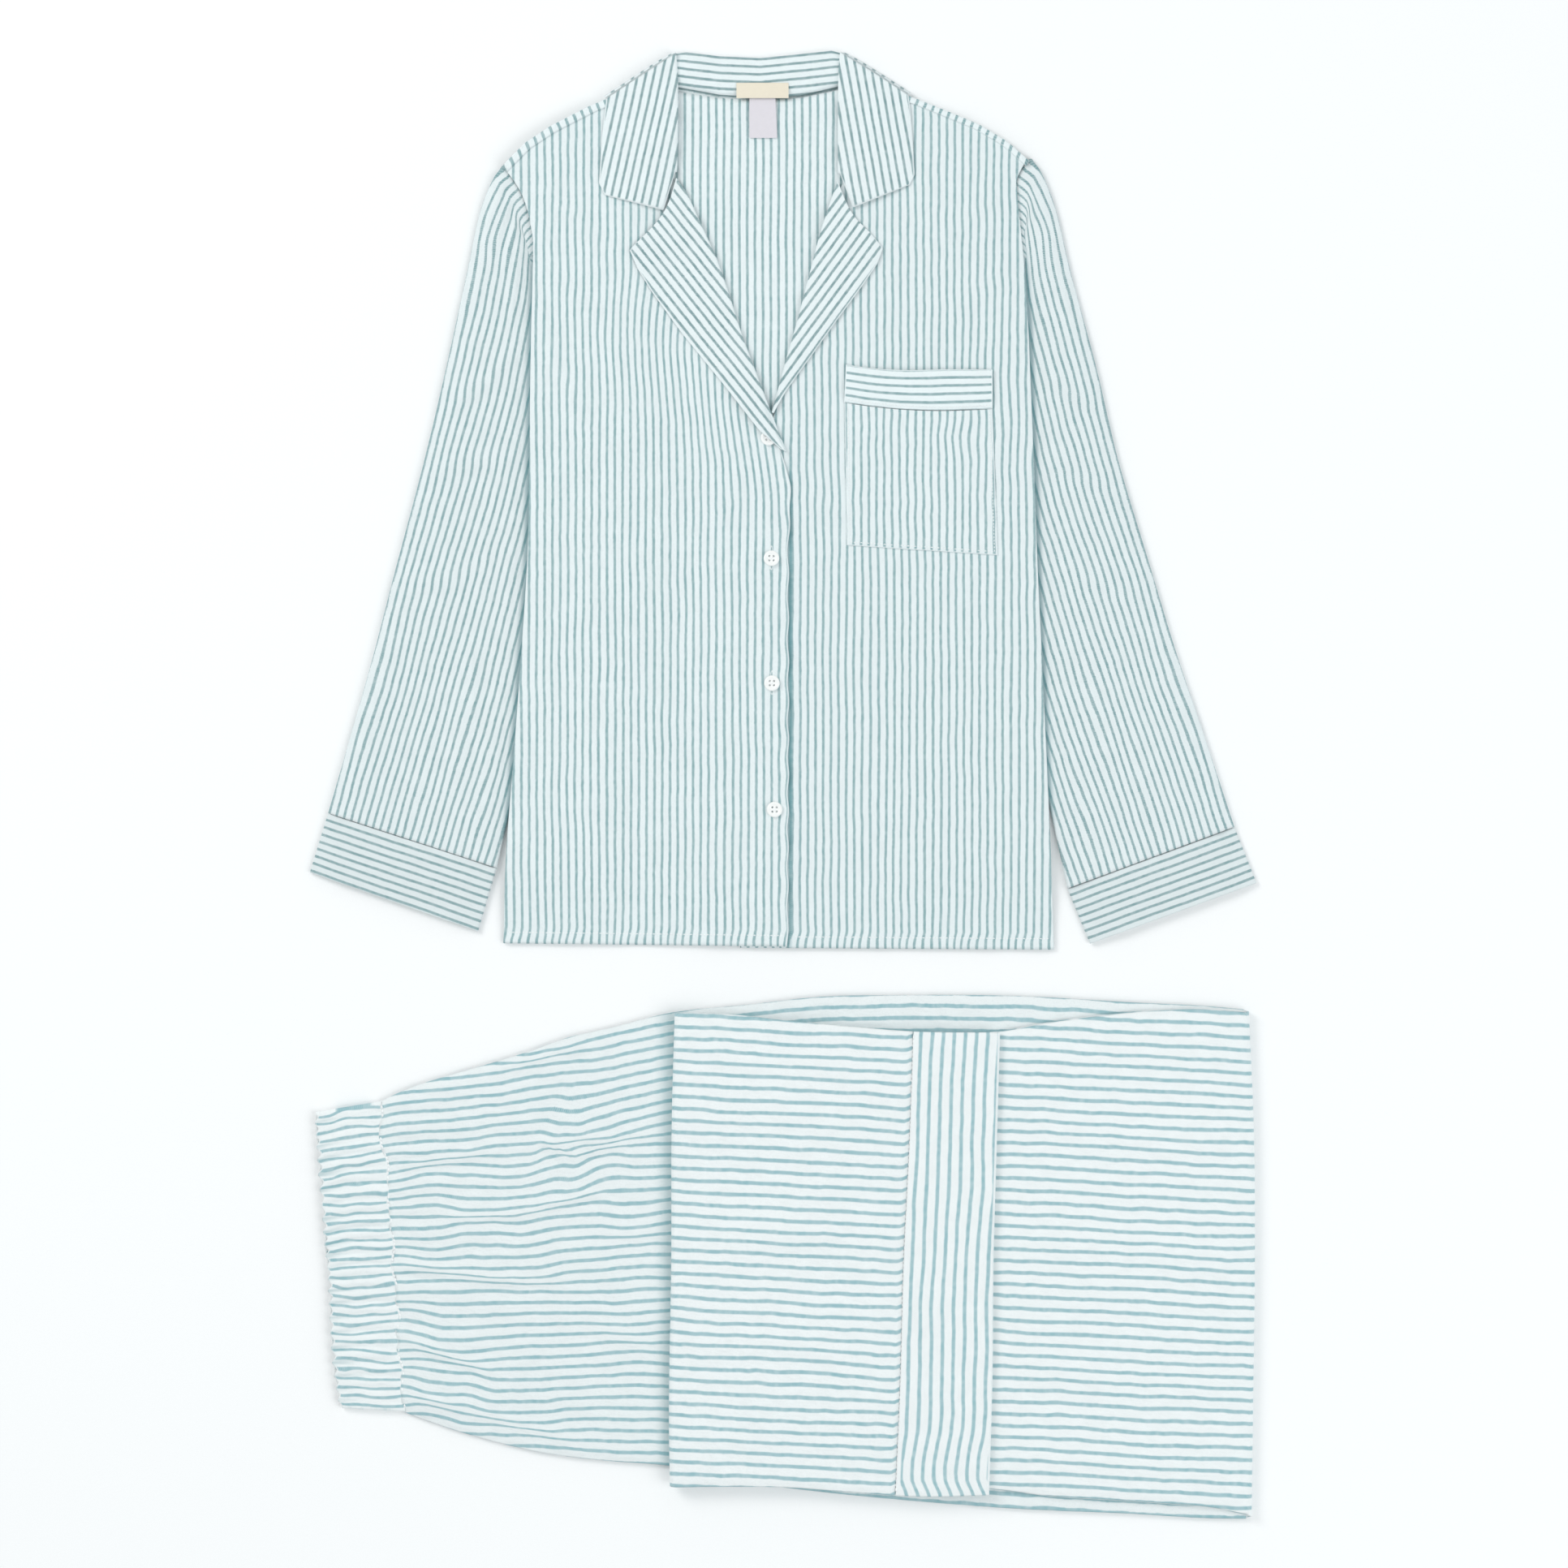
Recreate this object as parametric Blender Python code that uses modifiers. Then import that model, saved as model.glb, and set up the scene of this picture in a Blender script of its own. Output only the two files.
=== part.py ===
"""Pyjama set laid flat: a long-sleeved shirt with a notched collar above a pair of trousers folded in three.

The frame: the set lies on the plane z = 0, +Y runs from the trousers to the collar, +X to the wearer's left.
The tables hold millimetres; every point is turned into metres where its mesh is made.
"""

import math
from collections import namedtuple

import bmesh
import bpy
from mathutils import Vector

MILLIMETRE = 0.001
TABLES_MIDDLE = (-0.646, -0.314, 0.0)  # middle of the set's outline in the tables, put at the origin

CLOTH = 1.0  # wall of one layer of cloth
SEAM_GAP = 0.3  # left between pieces that are sewn together or lie on each other
LAYER = CLOTH + SEAM_GAP

# How high the shirt's sides ride on the sleeves tucked under them, and its neck on the fall of the collar.
SLEEVE_LIFT = 3.9
COLLAR_LIFT = 1.4
OVERLAP_LIFT = 1.5  # the buttoned front rides this high on the other front

BUTTON_RADIUS = 6.1
BUTTON_THICKNESS = 2.0
BUTTON_HOLE_RADIUS = 0.8
BUTTON_HOLE_SPREAD = 1.6  # from the middle of the button to each hole, along each of its two axes

# The folded trousers: three layers, each of them right leg, inner leaves, left leg from the table up.
INNER_LEAVES = 1.6
LEG_OFFSET = INNER_LEAVES / 2 + SEAM_GAP + CLOTH / 2
FOLD_PITCH = 4.6  # height from one layer's middle to the next one's
FIRST_MIDDLE = CLOTH + SEAM_GAP + INNER_LEAVES / 2
FOLD_STEPS = 5

Point = namedtuple("Point", "x y")
Span = namedtuple("Span", "from_x from_y to_x to_y")
Station = namedtuple("Station", "outer_x outer_y inner_x inner_y bow bow_at head_z")
Edge = namedtuple("Edge", "x y")
CollarStation = namedtuple("CollarStation", "seam roll middle edge stand_z fall_z outset")


# ---------------------------------------------------------------- tables: shirt

# The wearer's right side of the body, hem to underarm, then up the armhole to the shoulder.
RIGHT_SIDE = [
    Edge(-217.7, -123.5),
    Edge(-215.8, -61.1),
    Edge(-209.5, 22.1),
    Edge(-203.8, 100.2),
    Edge(-199.4, 162.5),
    Edge(-197.5, 249.5),
    Edge(-196.2, 340.2),
    Edge(-194.4, 410.8),
    Edge(-195.0, 425.2),
    Edge(-199.4, 446.0),
    Edge(-207.6, 464.3),
    Edge(-218.3, 476.9),
]
LEFT_SIDE = [
    Edge(209.5, -128.5),
    Edge(206.3, -41.6),
    Edge(201.9, 54.8),
    Edge(196.9, 158.8),
    Edge(193.1, 263.3),
    Edge(188.1, 376.1),
    Edge(185.5, 409.5),
    Edge(181.8, 444.8),
    Edge(180.5, 463.7),
    Edge(183.0, 476.3),
    Edge(190.6, 483.0),
]

# The top of the back: along one shoulder fold, round the neckline, along the other shoulder fold.
# share: where the column stands across the hem, from the wearer's right side to the left.
BackColumn = namedtuple("BackColumn", "share top_x top_y on_shoulder")
BACK_COLUMNS = [
    BackColumn(0.00, -217.6, 478.4, True),
    BackColumn(0.06, -200.0, 496.2, True),
    BackColumn(0.125, -180.5, 509.0, True),
    BackColumn(0.20, -150.0, 524.8, True),
    BackColumn(0.27, -128.0, 533.8, True),
    BackColumn(0.34, -108.0, 546.0, True),
    BackColumn(0.41, -83.0, 537.0, False),
    BackColumn(0.46, -50.0, 532.0, False),
    BackColumn(0.50, -19.0, 530.5, False),
    BackColumn(0.54, 12.0, 532.0, False),
    BackColumn(0.59, 44.0, 538.5, False),
    BackColumn(0.66, 68.0, 546.5, True),
    BackColumn(0.73, 88.0, 535.8, True),
    BackColumn(0.80, 112.0, 526.4, True),
    BackColumn(0.875, 150.0, 510.5, True),
    BackColumn(0.94, 172.0, 497.5, True),
    BackColumn(1.00, 189.6, 482.0, True),
]
BACK_ROWS = [-123.5, -95.0, -62.0, -38.0, 22.0, 130.0, 250.0, 340.0, 398.0]
BACK_INSET = 1.2  # the back's sides lie this far inside the fronts' sides
YOKE_BASE = 398.0  # above this height the back narrows to the shoulders
YOKE_SHARES = [0.25, 0.5, 0.75, 0.92, 1.0]
SHOULDER_WRAP = 9.0  # width of the strip of the back that comes over the shoulder to the front
SHOULDER_ROLL = 0.65

# Sections of the fronts, from the hem up to the shoulder seam: the side seam or armhole, then the front edge,
# the roll of the lapel and the neckline.
FRONT_RIGHT_SPANS = [
    Span(-217.7, -123.5, 2.8, -126.0),
    Span(-215.8, -61.1, 3.1, -62.0),
    Span(-209.5, 22.1, 3.4, 22.0),
    Span(-203.8, 100.2, 3.4, 100.0),
    Span(-198.8, 180.0, 3.2, 180.0),
    Span(-197.5, 245.0, 3.0, 240.0),
    Span(-197.3, 262.0, -1.6, 255.5),
    Span(-196.7, 310.0, -19.6, 301.7),
    Span(-196.0, 350.0, -35.9, 345.2),
    Span(-194.8, 395.0, -53.0, 399.3),
    Span(-194.5, 410.8, -70.0, 436.5),
    Span(-195.0, 425.2, -85.5, 467.0),
    Span(-199.4, 446.0, -104.8, 480.0),
    Span(-207.2, 462.5, -106.0, 512.0),
    Span(-213.2, 470.6, -103.4, 538.0),
]
FRONT_LEFT_SPANS = [
    Span(209.5, -128.5, -34.0, -127.0),
    Span(206.8, -55.0, -34.0, -60.0),
    Span(203.4, 22.0, -34.0, 22.0),
    Span(199.8, 100.0, -34.0, 100.0),
    Span(196.2, 175.0, -34.0, 175.0),
    Span(194.6, 222.0, -33.0, 215.0),
    Span(193.3, 258.0, -22.0, 252.0),
    Span(191.5, 300.0, -5.6, 292.0),
    Span(188.6, 365.0, 14.6, 359.5),
    Span(185.5, 409.5, 28.4, 413.5),
    Span(183.6, 428.0, 38.4, 447.0),
    Span(181.8, 444.8, 47.0, 467.0),
    Span(180.6, 458.0, 65.0, 480.0),
    Span(180.6, 466.0, 66.0, 512.0),
    Span(182.6, 472.0, 63.8, 538.0),
]
FRONT_SHARES = [0.0, 0.07, 0.14, 0.28, 0.37, 0.46, 0.55, 0.75, 1.0]

# Sections of the turned-out lapels, from the buttoned end up: the roll line, then the outer edge.
LAPEL_RIGHT_SPANS = [
    Span(1.6, 257.5, -1.8, 259.2),
    Span(-5.5, 275.5, -19.2, 274.1),
    Span(-16.1, 303.0, -46.3, 309.3),
    Span(-32.4, 346.5, -79.7, 350.3),
    Span(-44.0, 383.0, -101.5, 380.0),
    Span(-52.5, 407.5, -113.0, 398.5),
    Span(-66.5, 437.9, -119.6, 413.5),
    Span(-76.0, 459.0, -105.5, 427.5),
    Span(-83.6, 469.6, -92.4, 438.8),
]
LAPEL_LEFT_SPANS = [
    Span(-5.8, 303.5, -1.0, 303.8),
    Span(2.5, 331.5, 20.0, 330.5),
    Span(11.0, 360.4, 41.3, 360.4),
    Span(18.0, 387.5, 60.0, 385.5),
    Span(24.9, 414.5, 72.0, 403.0),
    Span(30.0, 432.5, 76.6, 415.2),
    Span(36.0, 451.0, 65.8, 428.0),
    Span(41.8, 466.6, 52.4, 439.4),
]
LAPEL_SHARES = [0.0, 0.18, 0.4, 0.7, 1.0]
LAPEL_ROLL = 0.9

# The collar, from the wearer's right front round the neck to the left front. On the fronts its fall lies on top
# and hides its stand; round the back the fall lies on the table and the stand shows above the back's neckline.
COLLAR = [
    CollarStation((-99.0, 476.0), (-84.3, 474.4), (-93.4, 444.4), (-138.9, 456.1), 4.1, 6.2, 0.0),
    CollarStation((-104.0, 492.0), (-83.8, 492.0), (-108.0, 468.0), (-143.3, 465.5), 4.1, 7.4, 0.0),
    CollarStation((-104.6, 515.0), (-83.5, 520.0), (-110.0, 502.0), (-141.2, 500.0), 4.1, 7.2, 0.0),
    CollarStation((-102.4, 538.0), (-83.6, 548.0), (-110.0, 529.0), (-138.6, 523.0), 4.1, 6.8, 0.0),
    CollarStation((-101.6, 550.6), (-84.7, 565.6), (-110.0, 549.0), (-137.6, 530.6), 4.1, 6.2, 0.0),
    CollarStation((-101.6, 551.2), (-84.7, 566.2), (-110.0, 549.6), (-137.9, 531.2), 3.2, 3.3, 2.4),
    CollarStation((-100.6, 550.2), (-83.9, 565.6), (-108.8, 548.8), (-136.6, 530.4), 2.5, 0.5, 0.0),
    CollarStation((-83.0, 540.6), (-76.0, 566.4), (-94.0, 530.0), (-112.0, 492.0), 2.5, 0.5, 0.0),
    CollarStation((-50.0, 534.6), (-50.0, 563.2), (-53.0, 522.0), (-60.0, 480.0), 2.5, 0.5, 0.0),
    CollarStation((-19.0, 532.6), (-19.0, 561.8), (-19.0, 520.0), (-19.0, 476.0), 2.5, 0.5, 0.0),
    CollarStation((12.0, 534.0), (12.0, 564.8), (15.0, 522.0), (22.0, 480.0), 2.5, 0.5, 0.0),
    CollarStation((44.0, 541.4), (37.0, 567.6), (54.0, 530.0), (72.0, 492.0), 2.5, 0.5, 0.0),
    CollarStation((60.6, 550.4), (43.6, 566.2), (68.6, 550.4), (95.6, 533.2), 2.5, 0.5, 0.0),
    CollarStation((61.6, 551.4), (44.4, 566.8), (69.6, 551.2), (96.6, 534.0), 3.2, 3.3, 2.4),
    CollarStation((61.6, 550.8), (44.4, 566.2), (69.6, 550.6), (96.2, 533.4), 4.1, 6.2, 0.0),
    CollarStation((62.4, 538.0), (43.4, 548.0), (70.0, 531.0), (97.6, 525.0), 4.1, 6.8, 0.0),
    CollarStation((64.6, 515.0), (43.2, 520.0), (70.0, 503.0), (99.4, 502.0), 4.1, 7.0, 0.0),
    CollarStation((63.6, 492.0), (43.2, 492.0), (68.0, 470.0), (101.1, 472.0), 4.1, 7.0, 0.0),
    CollarStation((58.6, 476.0), (43.2, 473.4), (53.4, 446.4), (97.3, 464.3), 4.1, 6.2, 0.0),
]
COLLAR_STAND_SHARES = [0.0, 0.45, 0.85]
COLLAR_FALL_SHARES = [0.12, 0.5, 1.0, 1.55, 2.0]  # 1 is the middle of the fall, 2 its outer edge

# Sections of the sleeves from the armhole to the cuff seam: the outer fold, the inner fold hidden by the body,
# how far the section bows towards the body and at which share of it, and the height of its upper leaf at the
# outer fold.
SLEEVE_RIGHT = [
    Station(-219.8, 478.2, -196.4, 411.6, 7.0, 0.45, 5.7),
    Station(-223.6, 471.5, -197.6, 407.4, 5.6, 0.45, 4.4),
    Station(-232.0, 452.0, -183.0, 392.0, 4.0, 0.48, 3.4),
    Station(-245.0, 396.0, -168.0, 356.0, 1.5, 0.48, 3.2),
    Station(-262.0, 320.0, -160.0, 298.0, 0.0, 0.5, 3.2),
    Station(-280.5, 243.0, -169.0, 214.0, 0.0, 0.5, 3.2),
    Station(-300.5, 168.0, -182.0, 139.0, 0.0, 0.5, 3.2),
    Station(-320.0, 93.0, -195.0, 60.0, 0.0, 0.5, 3.2),
    Station(-338.5, 28.0, -209.0, -8.0, 0.0, 0.5, 3.2),
    Station(-353.4, -22.6, -222.0, -65.4, 0.0, 0.5, 3.2),
]
SLEEVE_LEFT = [
    Station(193.6, 484.0, 187.4, 411.0, -9.5, 0.25, 5.7),
    Station(197.6, 477.0, 188.6, 406.4, -7.0, 0.25, 4.4),
    Station(206.5, 456.0, 173.0, 391.0, -4.0, 0.3, 3.4),
    Station(221.0, 398.0, 160.0, 356.0, -1.5, 0.4, 3.2),
    Station(240.0, 328.0, 154.0, 300.0, 0.0, 0.5, 3.2),
    Station(259.0, 249.0, 162.0, 217.0, 0.0, 0.5, 3.2),
    Station(280.5, 178.0, 174.0, 141.0, 0.0, 0.5, 3.2),
    Station(304.0, 101.0, 187.0, 62.0, 0.0, 0.5, 3.2),
    Station(327.0, 33.0, 203.5, -10.0, 0.0, 0.5, 3.2),
    Station(349.0, -33.3, 219.0, -81.3, 0.0, 0.5, 3.2),
]
CUFF_RIGHT = [
    Station(-353.52, -22.98, -222.12, -65.78, 0.0, 0.5, 3.3),
    Station(-360.9, -47.0, -229.6, -91.0, 0.0, 0.5, 3.5),
    Station(-367.6, -68.7, -236.6, -114.7, 0.0, 0.5, 3.3),
]
CUFF_LEFT = [
    Station(349.14, -33.68, 219.14, -81.68, 0.0, 0.5, 3.3),
    Station(358.0, -56.0, 228.0, -103.4, 0.0, 0.5, 3.5),
    Station(366.3, -76.9, 236.6, -124.1, 0.0, 0.5, 3.3),
]
SLEEVE_LOWER_LEAF = CLOTH / 2
SLEEVE_HIDDEN_LEAF = 2.9  # height of the upper leaf where the body lies on it
SLEEVE_PUFF = 1.5

# The patch pocket and its band: rows from the bottom up, from the front edge side to the armhole side.
POCKET_SPANS = [
    Span(48.8, 185.2, 165.4, 177.3),
    Span(48.4, 214.0, 164.5, 206.0),
    Span(47.8, 243.0, 163.4, 235.0),
    Span(47.3, 270.0, 162.3, 263.0),
    Span(46.9, 295.6, 161.3, 290.4),
]
POCKET_BAND_SPANS = [
    Span(46.6, 296.2, 161.5, 291.0),
    Span(47.3, 310.0, 161.5, 306.0),
    Span(47.9, 325.1, 161.3, 320.9),
]
POCKET_SHARES = [0.0, 0.2, 0.4, 0.6, 0.8, 1.0]
POCKET_SAG = 3.6  # how far the pocket's mouth hangs between its two corners

NECK_LABEL_SPANS = [Span(-36.9, 534.8, 3.5, 534.8), Span(-36.9, 543.6, 3.5, 543.6)]
CARE_LABEL_SPANS = [Span(-26.8, 500.9, -5.4, 500.9), Span(-26.8, 515.0, -6.2, 515.0), Span(-26.8, 528.6, -6.8, 528.6)]

BUTTON_PLACES = [Point(-12.0, 268.4), Point(-9.8, 174.9), Point(-9.4, 78.1), Point(-7.4, -19.8)]

# ---------------------------------------------------------------- tables: trousers

WAIST_OPENING = [
    Edge(-363.2, -254.5),
    Edge(-358.8, -310.6),
    Edge(-355.6, -350.3),
    Edge(-351.9, -391.9),
    Edge(-350.6, -427.1),
    Edge(-346.2, -468.7),
    Edge(-343.7, -483.8),
]
WAIST_SEAM = [
    Edge(-312.2, -246.3),
    Edge(-312.0, -270.9),
    Edge(-307.8, -298.6),
    Edge(-305.2, -333.9),
    Edge(-302.7, -371.1),
    Edge(-299.6, -403.8),
    Edge(-298.3, -438.5),
    Edge(-293.9, -486.4),
]
WAIST_RIPPLES = 11
WAIST_RIPPLE_HEIGHT = 0.8

# Each layer's two long edges as the folded legs lie: x along the leg, y of the upper and of the lower edge.
LegSection = namedtuple("LegSection", "x top bottom")
FIRST_LAYER = [
    LegSection(-312.0, -246.0, -481.0),
    LegSection(-303.0, -241.3, -484.0),
    LegSection(-288.0, -235.0, -489.5),
    LegSection(-258.0, -225.5, -500.2),
    LegSection(-227.7, -216.7, -509.0),
    LegSection(-197.5, -207.3, -516.6),
    LegSection(-167.3, -196.6, -521.6),
    LegSection(-137.0, -189.6, -524.8),
    LegSection(-85.4, -177.0, -529.2),
    LegSection(-31.0, -171.5, -541.0),
    LegSection(29.0, -165.0, -549.0),
    LegSection(90.0, -163.8, -555.0),
    LegSection(180.0, -164.4, -562.0),
    LegSection(271.0, -169.5, -566.0),
    LegSection(332.0, -172.6, -569.5),
    LegSection(366.0, -175.8, -569.8),
]
SECOND_LAYER = [
    LegSection(-90.0, -178.0, -543.0),
    LegSection(51.0, -189.0, -544.5),
    LegSection(167.0, -191.5, -547.0),
    LegSection(205.0, -184.6, -551.9),
    LegSection(252.0, -178.3, -555.0),
    LegSection(298.0, -174.5, -558.0),
    LegSection(329.0, -174.0, -559.4),
    LegSection(366.0, -177.2, -561.5),
]
THIRD_LAYER = [
    LegSection(-90.0, -177.0, -544.4),
    LegSection(-42.5, -178.3, -543.7),
    LegSection(4.0, -183.3, -544.3),
    LegSection(51.0, -187.7, -547.8),
    LegSection(100.0, -191.5, -551.2),
    LegSection(168.0, -192.3, -550.0),
]
# Where each fold and the hem lie across the legs: share 0 is the upper edge, 1 the lower one.
Across = namedtuple("Across", "share x")
RIGHT_FOLD = [Across(0.0, 360.5), Across(0.25, 364.5), Across(0.5, 365.1), Across(0.75, 363.9), Across(1.0, 362.6)]
LEFT_FOLD = [Across(0.0, -84.9), Across(0.25, -87.3), Across(0.5, -87.5), Across(0.9, -89.2), Across(1.0, -88.6)]
HEM_SEAM = [Across(0.0, 99.9), Across(0.25, 96.7), Across(0.5, 92.3), Across(0.75, 89.8), Across(1.0, 86.0)]
HEM_EDGE = [Across(0.0, 167.3), Across(0.25, 164.7), Across(0.5, 162.2), Across(0.75, 161.4), Across(1.0, 158.8)]
LEG_ROWS = 8
FIRST_LAYER_SHARES = [0.0, 0.06, 0.14, 0.25, 0.36, 0.5, 0.66, 0.82, 0.94, 1.0]
SECOND_LAYER_SHARES = [0.0, 0.08, 0.25, 0.45, 0.75, 1.0]
THIRD_LAYER_SHARES = [0.0, 0.12, 0.4, 0.7, 1.0]
HEM_TURN = 16.0  # how far the hem band is turned in at the leg's end
HEM_ROLL = 0.7


# ---------------------------------------------------------------- reading the tables


def blend(first, second, share):
    return first + (second - first) * share


def ramp(value, low, high):
    """0 at low, 1 at high, straight in between, whichever of the two is larger."""
    return min(1.0, max(0.0, (value - low) / (high - low)))


def read(table, key, value, wanted):
    """The wanted column of a table at a value of its key column, straight between its rows."""
    for row, after in zip(table, table[1:]):
        start, end = getattr(row, key), getattr(after, key)
        if (value - start) * (value - end) <= 0 and start != end:
            return blend(getattr(row, wanted), getattr(after, wanted), (value - start) / (end - start))
    ends = (table[0], table[-1])
    nearest = min(ends, key=lambda row: abs(getattr(row, key) - value))
    return getattr(nearest, wanted)


# ---------------------------------------------------------------- how high the shirt lies


def inset(x, y):
    """How far a point lies inside the nearer side seam or armhole."""
    return min(x - read(RIGHT_SIDE, "y", y, "x"), read(LEFT_SIDE, "y", y, "x") - x)


def back_middle(x, y):
    """Height of the middle of the back's cloth: on the table, or over the sleeves and the collar's fall."""
    over_sleeve = SLEEVE_LIFT * ramp(inset(x, y), 80.0, 50.0) * ramp(y, -95.0, -40.0)
    over_collar = COLLAR_LIFT * ramp(y, 434.0, 458.0)
    return max(over_sleeve, over_collar) + CLOTH / 2


def front_middle(x, y):
    """Height of the middle of a front's cloth, clear of the back under it."""
    over_sleeve = SLEEVE_LIFT * ramp(inset(x, y), 120.0, 62.0) * ramp(y, -122.0, -60.0)
    over_collar = COLLAR_LIFT * ramp(y, 405.0, 440.0)
    return max(over_sleeve, over_collar) + CLOTH / 2 + LAYER


def buttoned_front_middle(x, y):
    """The same for the wearer's right front, which lies on the left one along the buttons."""
    return front_middle(x, y) + OVERLAP_LIFT * ramp(x, -78.0, -46.0) * ramp(y, 345.0, 300.0)


# ---------------------------------------------------------------- making pieces


def material(name, colour, roughness):
    made = bpy.data.materials.new(name)
    made.use_nodes = True
    shader = made.node_tree.nodes["Principled BSDF"]
    shader.inputs["Base Color"].default_value = (*colour, 1.0)
    shader.inputs["Roughness"].default_value = roughness
    shader.inputs["Metallic"].default_value = 0.0
    made.diffuse_color = (*colour, 1.0)
    return made


def piece(name, bm, collection, look, smooth=True):
    """The object of a mesh whose points are in millimetres."""
    mesh = bpy.data.meshes.new(name)
    bmesh.ops.recalc_face_normals(bm, faces=bm.faces)
    bmesh.ops.translate(bm, verts=bm.verts, vec=-Vector(TABLES_MIDDLE))
    bmesh.ops.scale(bm, vec=Vector((MILLIMETRE,) * 3), verts=bm.verts)
    bm.to_mesh(mesh)
    bm.free()
    mesh.polygons.foreach_set("use_smooth", [smooth] * len(mesh.polygons))
    made = bpy.data.objects.new(name, mesh)
    collection.objects.link(made)
    mesh.materials.append(look)
    return made


def thicken(made, thickness, even):
    """The wall of a sheet, half of it on each side. A tight tube isn't kept even, because its folds would spike."""
    solid = made.modifiers.new("Cloth", "SOLIDIFY")
    solid.thickness = thickness * MILLIMETRE
    solid.offset = 0.0
    solid.use_even_offset = even
    solid.use_rim = True


def sheet(name, columns, rows, place, look, collection, thickness=CLOTH, closed=False, left_out=None):
    """A grid of cloth whose corner (column, row) is put at place(column, row), given a wall by Solidify.

    closed joins the last column to the first, so that the sheet is a tube; left_out(column, row) names the
    corners that the sheet doesn't have.
    """
    bm = bmesh.new()
    bmesh.ops.create_grid(bm, x_segments=columns, y_segments=rows, size=1.0)
    dropped = []
    for corner in bm.verts:
        column = round((corner.co.x + 1.0) / 2.0 * columns)
        row = round((corner.co.y + 1.0) / 2.0 * rows)
        corner.co = Vector(place(column, row))
        if left_out is not None and left_out(column, row):
            dropped.append(corner)
    bmesh.ops.delete(bm, geom=dropped, context="VERTS")
    if closed:
        bmesh.ops.remove_doubles(bm, verts=bm.verts, dist=1e-4)
    made = piece(name, bm, collection, look)
    thicken(made, thickness, even=not closed)
    return made


def spanned_sheet(name, spans, shares, height, look, collection, sag=0.0):
    """A sheet from a table of spans: each row runs straight across, or hangs by sag in its middle."""

    def place(column, row):
        span = spans[row]
        share = shares[column]
        x = blend(span.from_x, span.to_x, share)
        y = blend(span.from_y, span.to_y, share) - sag * 4 * share * (1 - share) * row / (len(spans) - 1)
        return x, y, height(x, y)

    return sheet(name, len(shares) - 1, len(spans) - 1, place, look, collection)


# ---------------------------------------------------------------- shirt


def make_back(look, collection):
    """The back: flat rows to the armholes, a yoke that narrows to the shoulders, and a strip over each of them."""
    wrap_turns = [math.pi / 3, 2 * math.pi / 3, math.pi]
    body_rows = len(BACK_ROWS)
    yoke_rows = len(YOKE_SHARES)
    rows = body_rows + yoke_rows + len(wrap_turns) + 1

    def base(column, y):
        share = BACK_COLUMNS[column].share
        return blend(read(RIGHT_SIDE, "y", y, "x") + BACK_INSET, read(LEFT_SIDE, "y", y, "x") - BACK_INSET, share)

    def yoke(column, share):
        spot = BACK_COLUMNS[column]
        first, last = BACK_COLUMNS[0], BACK_COLUMNS[-1]
        x = blend(base(column, YOKE_BASE), spot.top_x, share)
        y = blend(YOKE_BASE, spot.top_y, share)
        right_y = blend(YOKE_BASE, first.top_y, share)
        left_y = blend(YOKE_BASE, last.top_y, share)
        straight_right = blend(base(0, YOKE_BASE), first.top_x, share)
        straight_left = blend(base(len(BACK_COLUMNS) - 1, YOKE_BASE), last.top_x, share)
        hollow_right = read(RIGHT_SIDE, "y", right_y, "x") + BACK_INSET - straight_right
        hollow_left = read(LEFT_SIDE, "y", left_y, "x") - BACK_INSET - straight_left
        at_end = 1.0 if share < 1.0 else 0.0
        x += at_end * ((1 - spot.share) * hollow_right + spot.share * hollow_left)
        return x, y

    def place(column, row):
        if row < body_rows:
            y = BACK_ROWS[row]
            x = base(column, y)
            return x, y, back_middle(x, y)
        if row < body_rows + yoke_rows:
            x, y = yoke(column, YOKE_SHARES[row - body_rows])
            return x, y, back_middle(x, y)
        spot = BACK_COLUMNS[column]
        side = -1.0 if spot.top_x < -19.0 else 1.0
        inward = Vector((-side * 0.53, -0.85))
        low = back_middle(spot.top_x, spot.top_y)
        high = front_middle(spot.top_x, spot.top_y)
        turn = row - body_rows - yoke_rows
        if turn < len(wrap_turns):
            angle = wrap_turns[turn]
            out = -SHOULDER_ROLL * math.sin(angle)
            z = blend(low, high, (1 - math.cos(angle)) / 2)
        else:
            out = SHOULDER_WRAP - 0.8
            z = front_middle(spot.top_x + inward.x * out, spot.top_y + inward.y * out)
        return spot.top_x + inward.x * out, spot.top_y + inward.y * out, z

    def left_out(column, row):
        return row >= body_rows + yoke_rows and not BACK_COLUMNS[column].on_shoulder

    return sheet("shirt_back", len(BACK_COLUMNS) - 1, rows - 1, place, look, collection, left_out=left_out)


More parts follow.
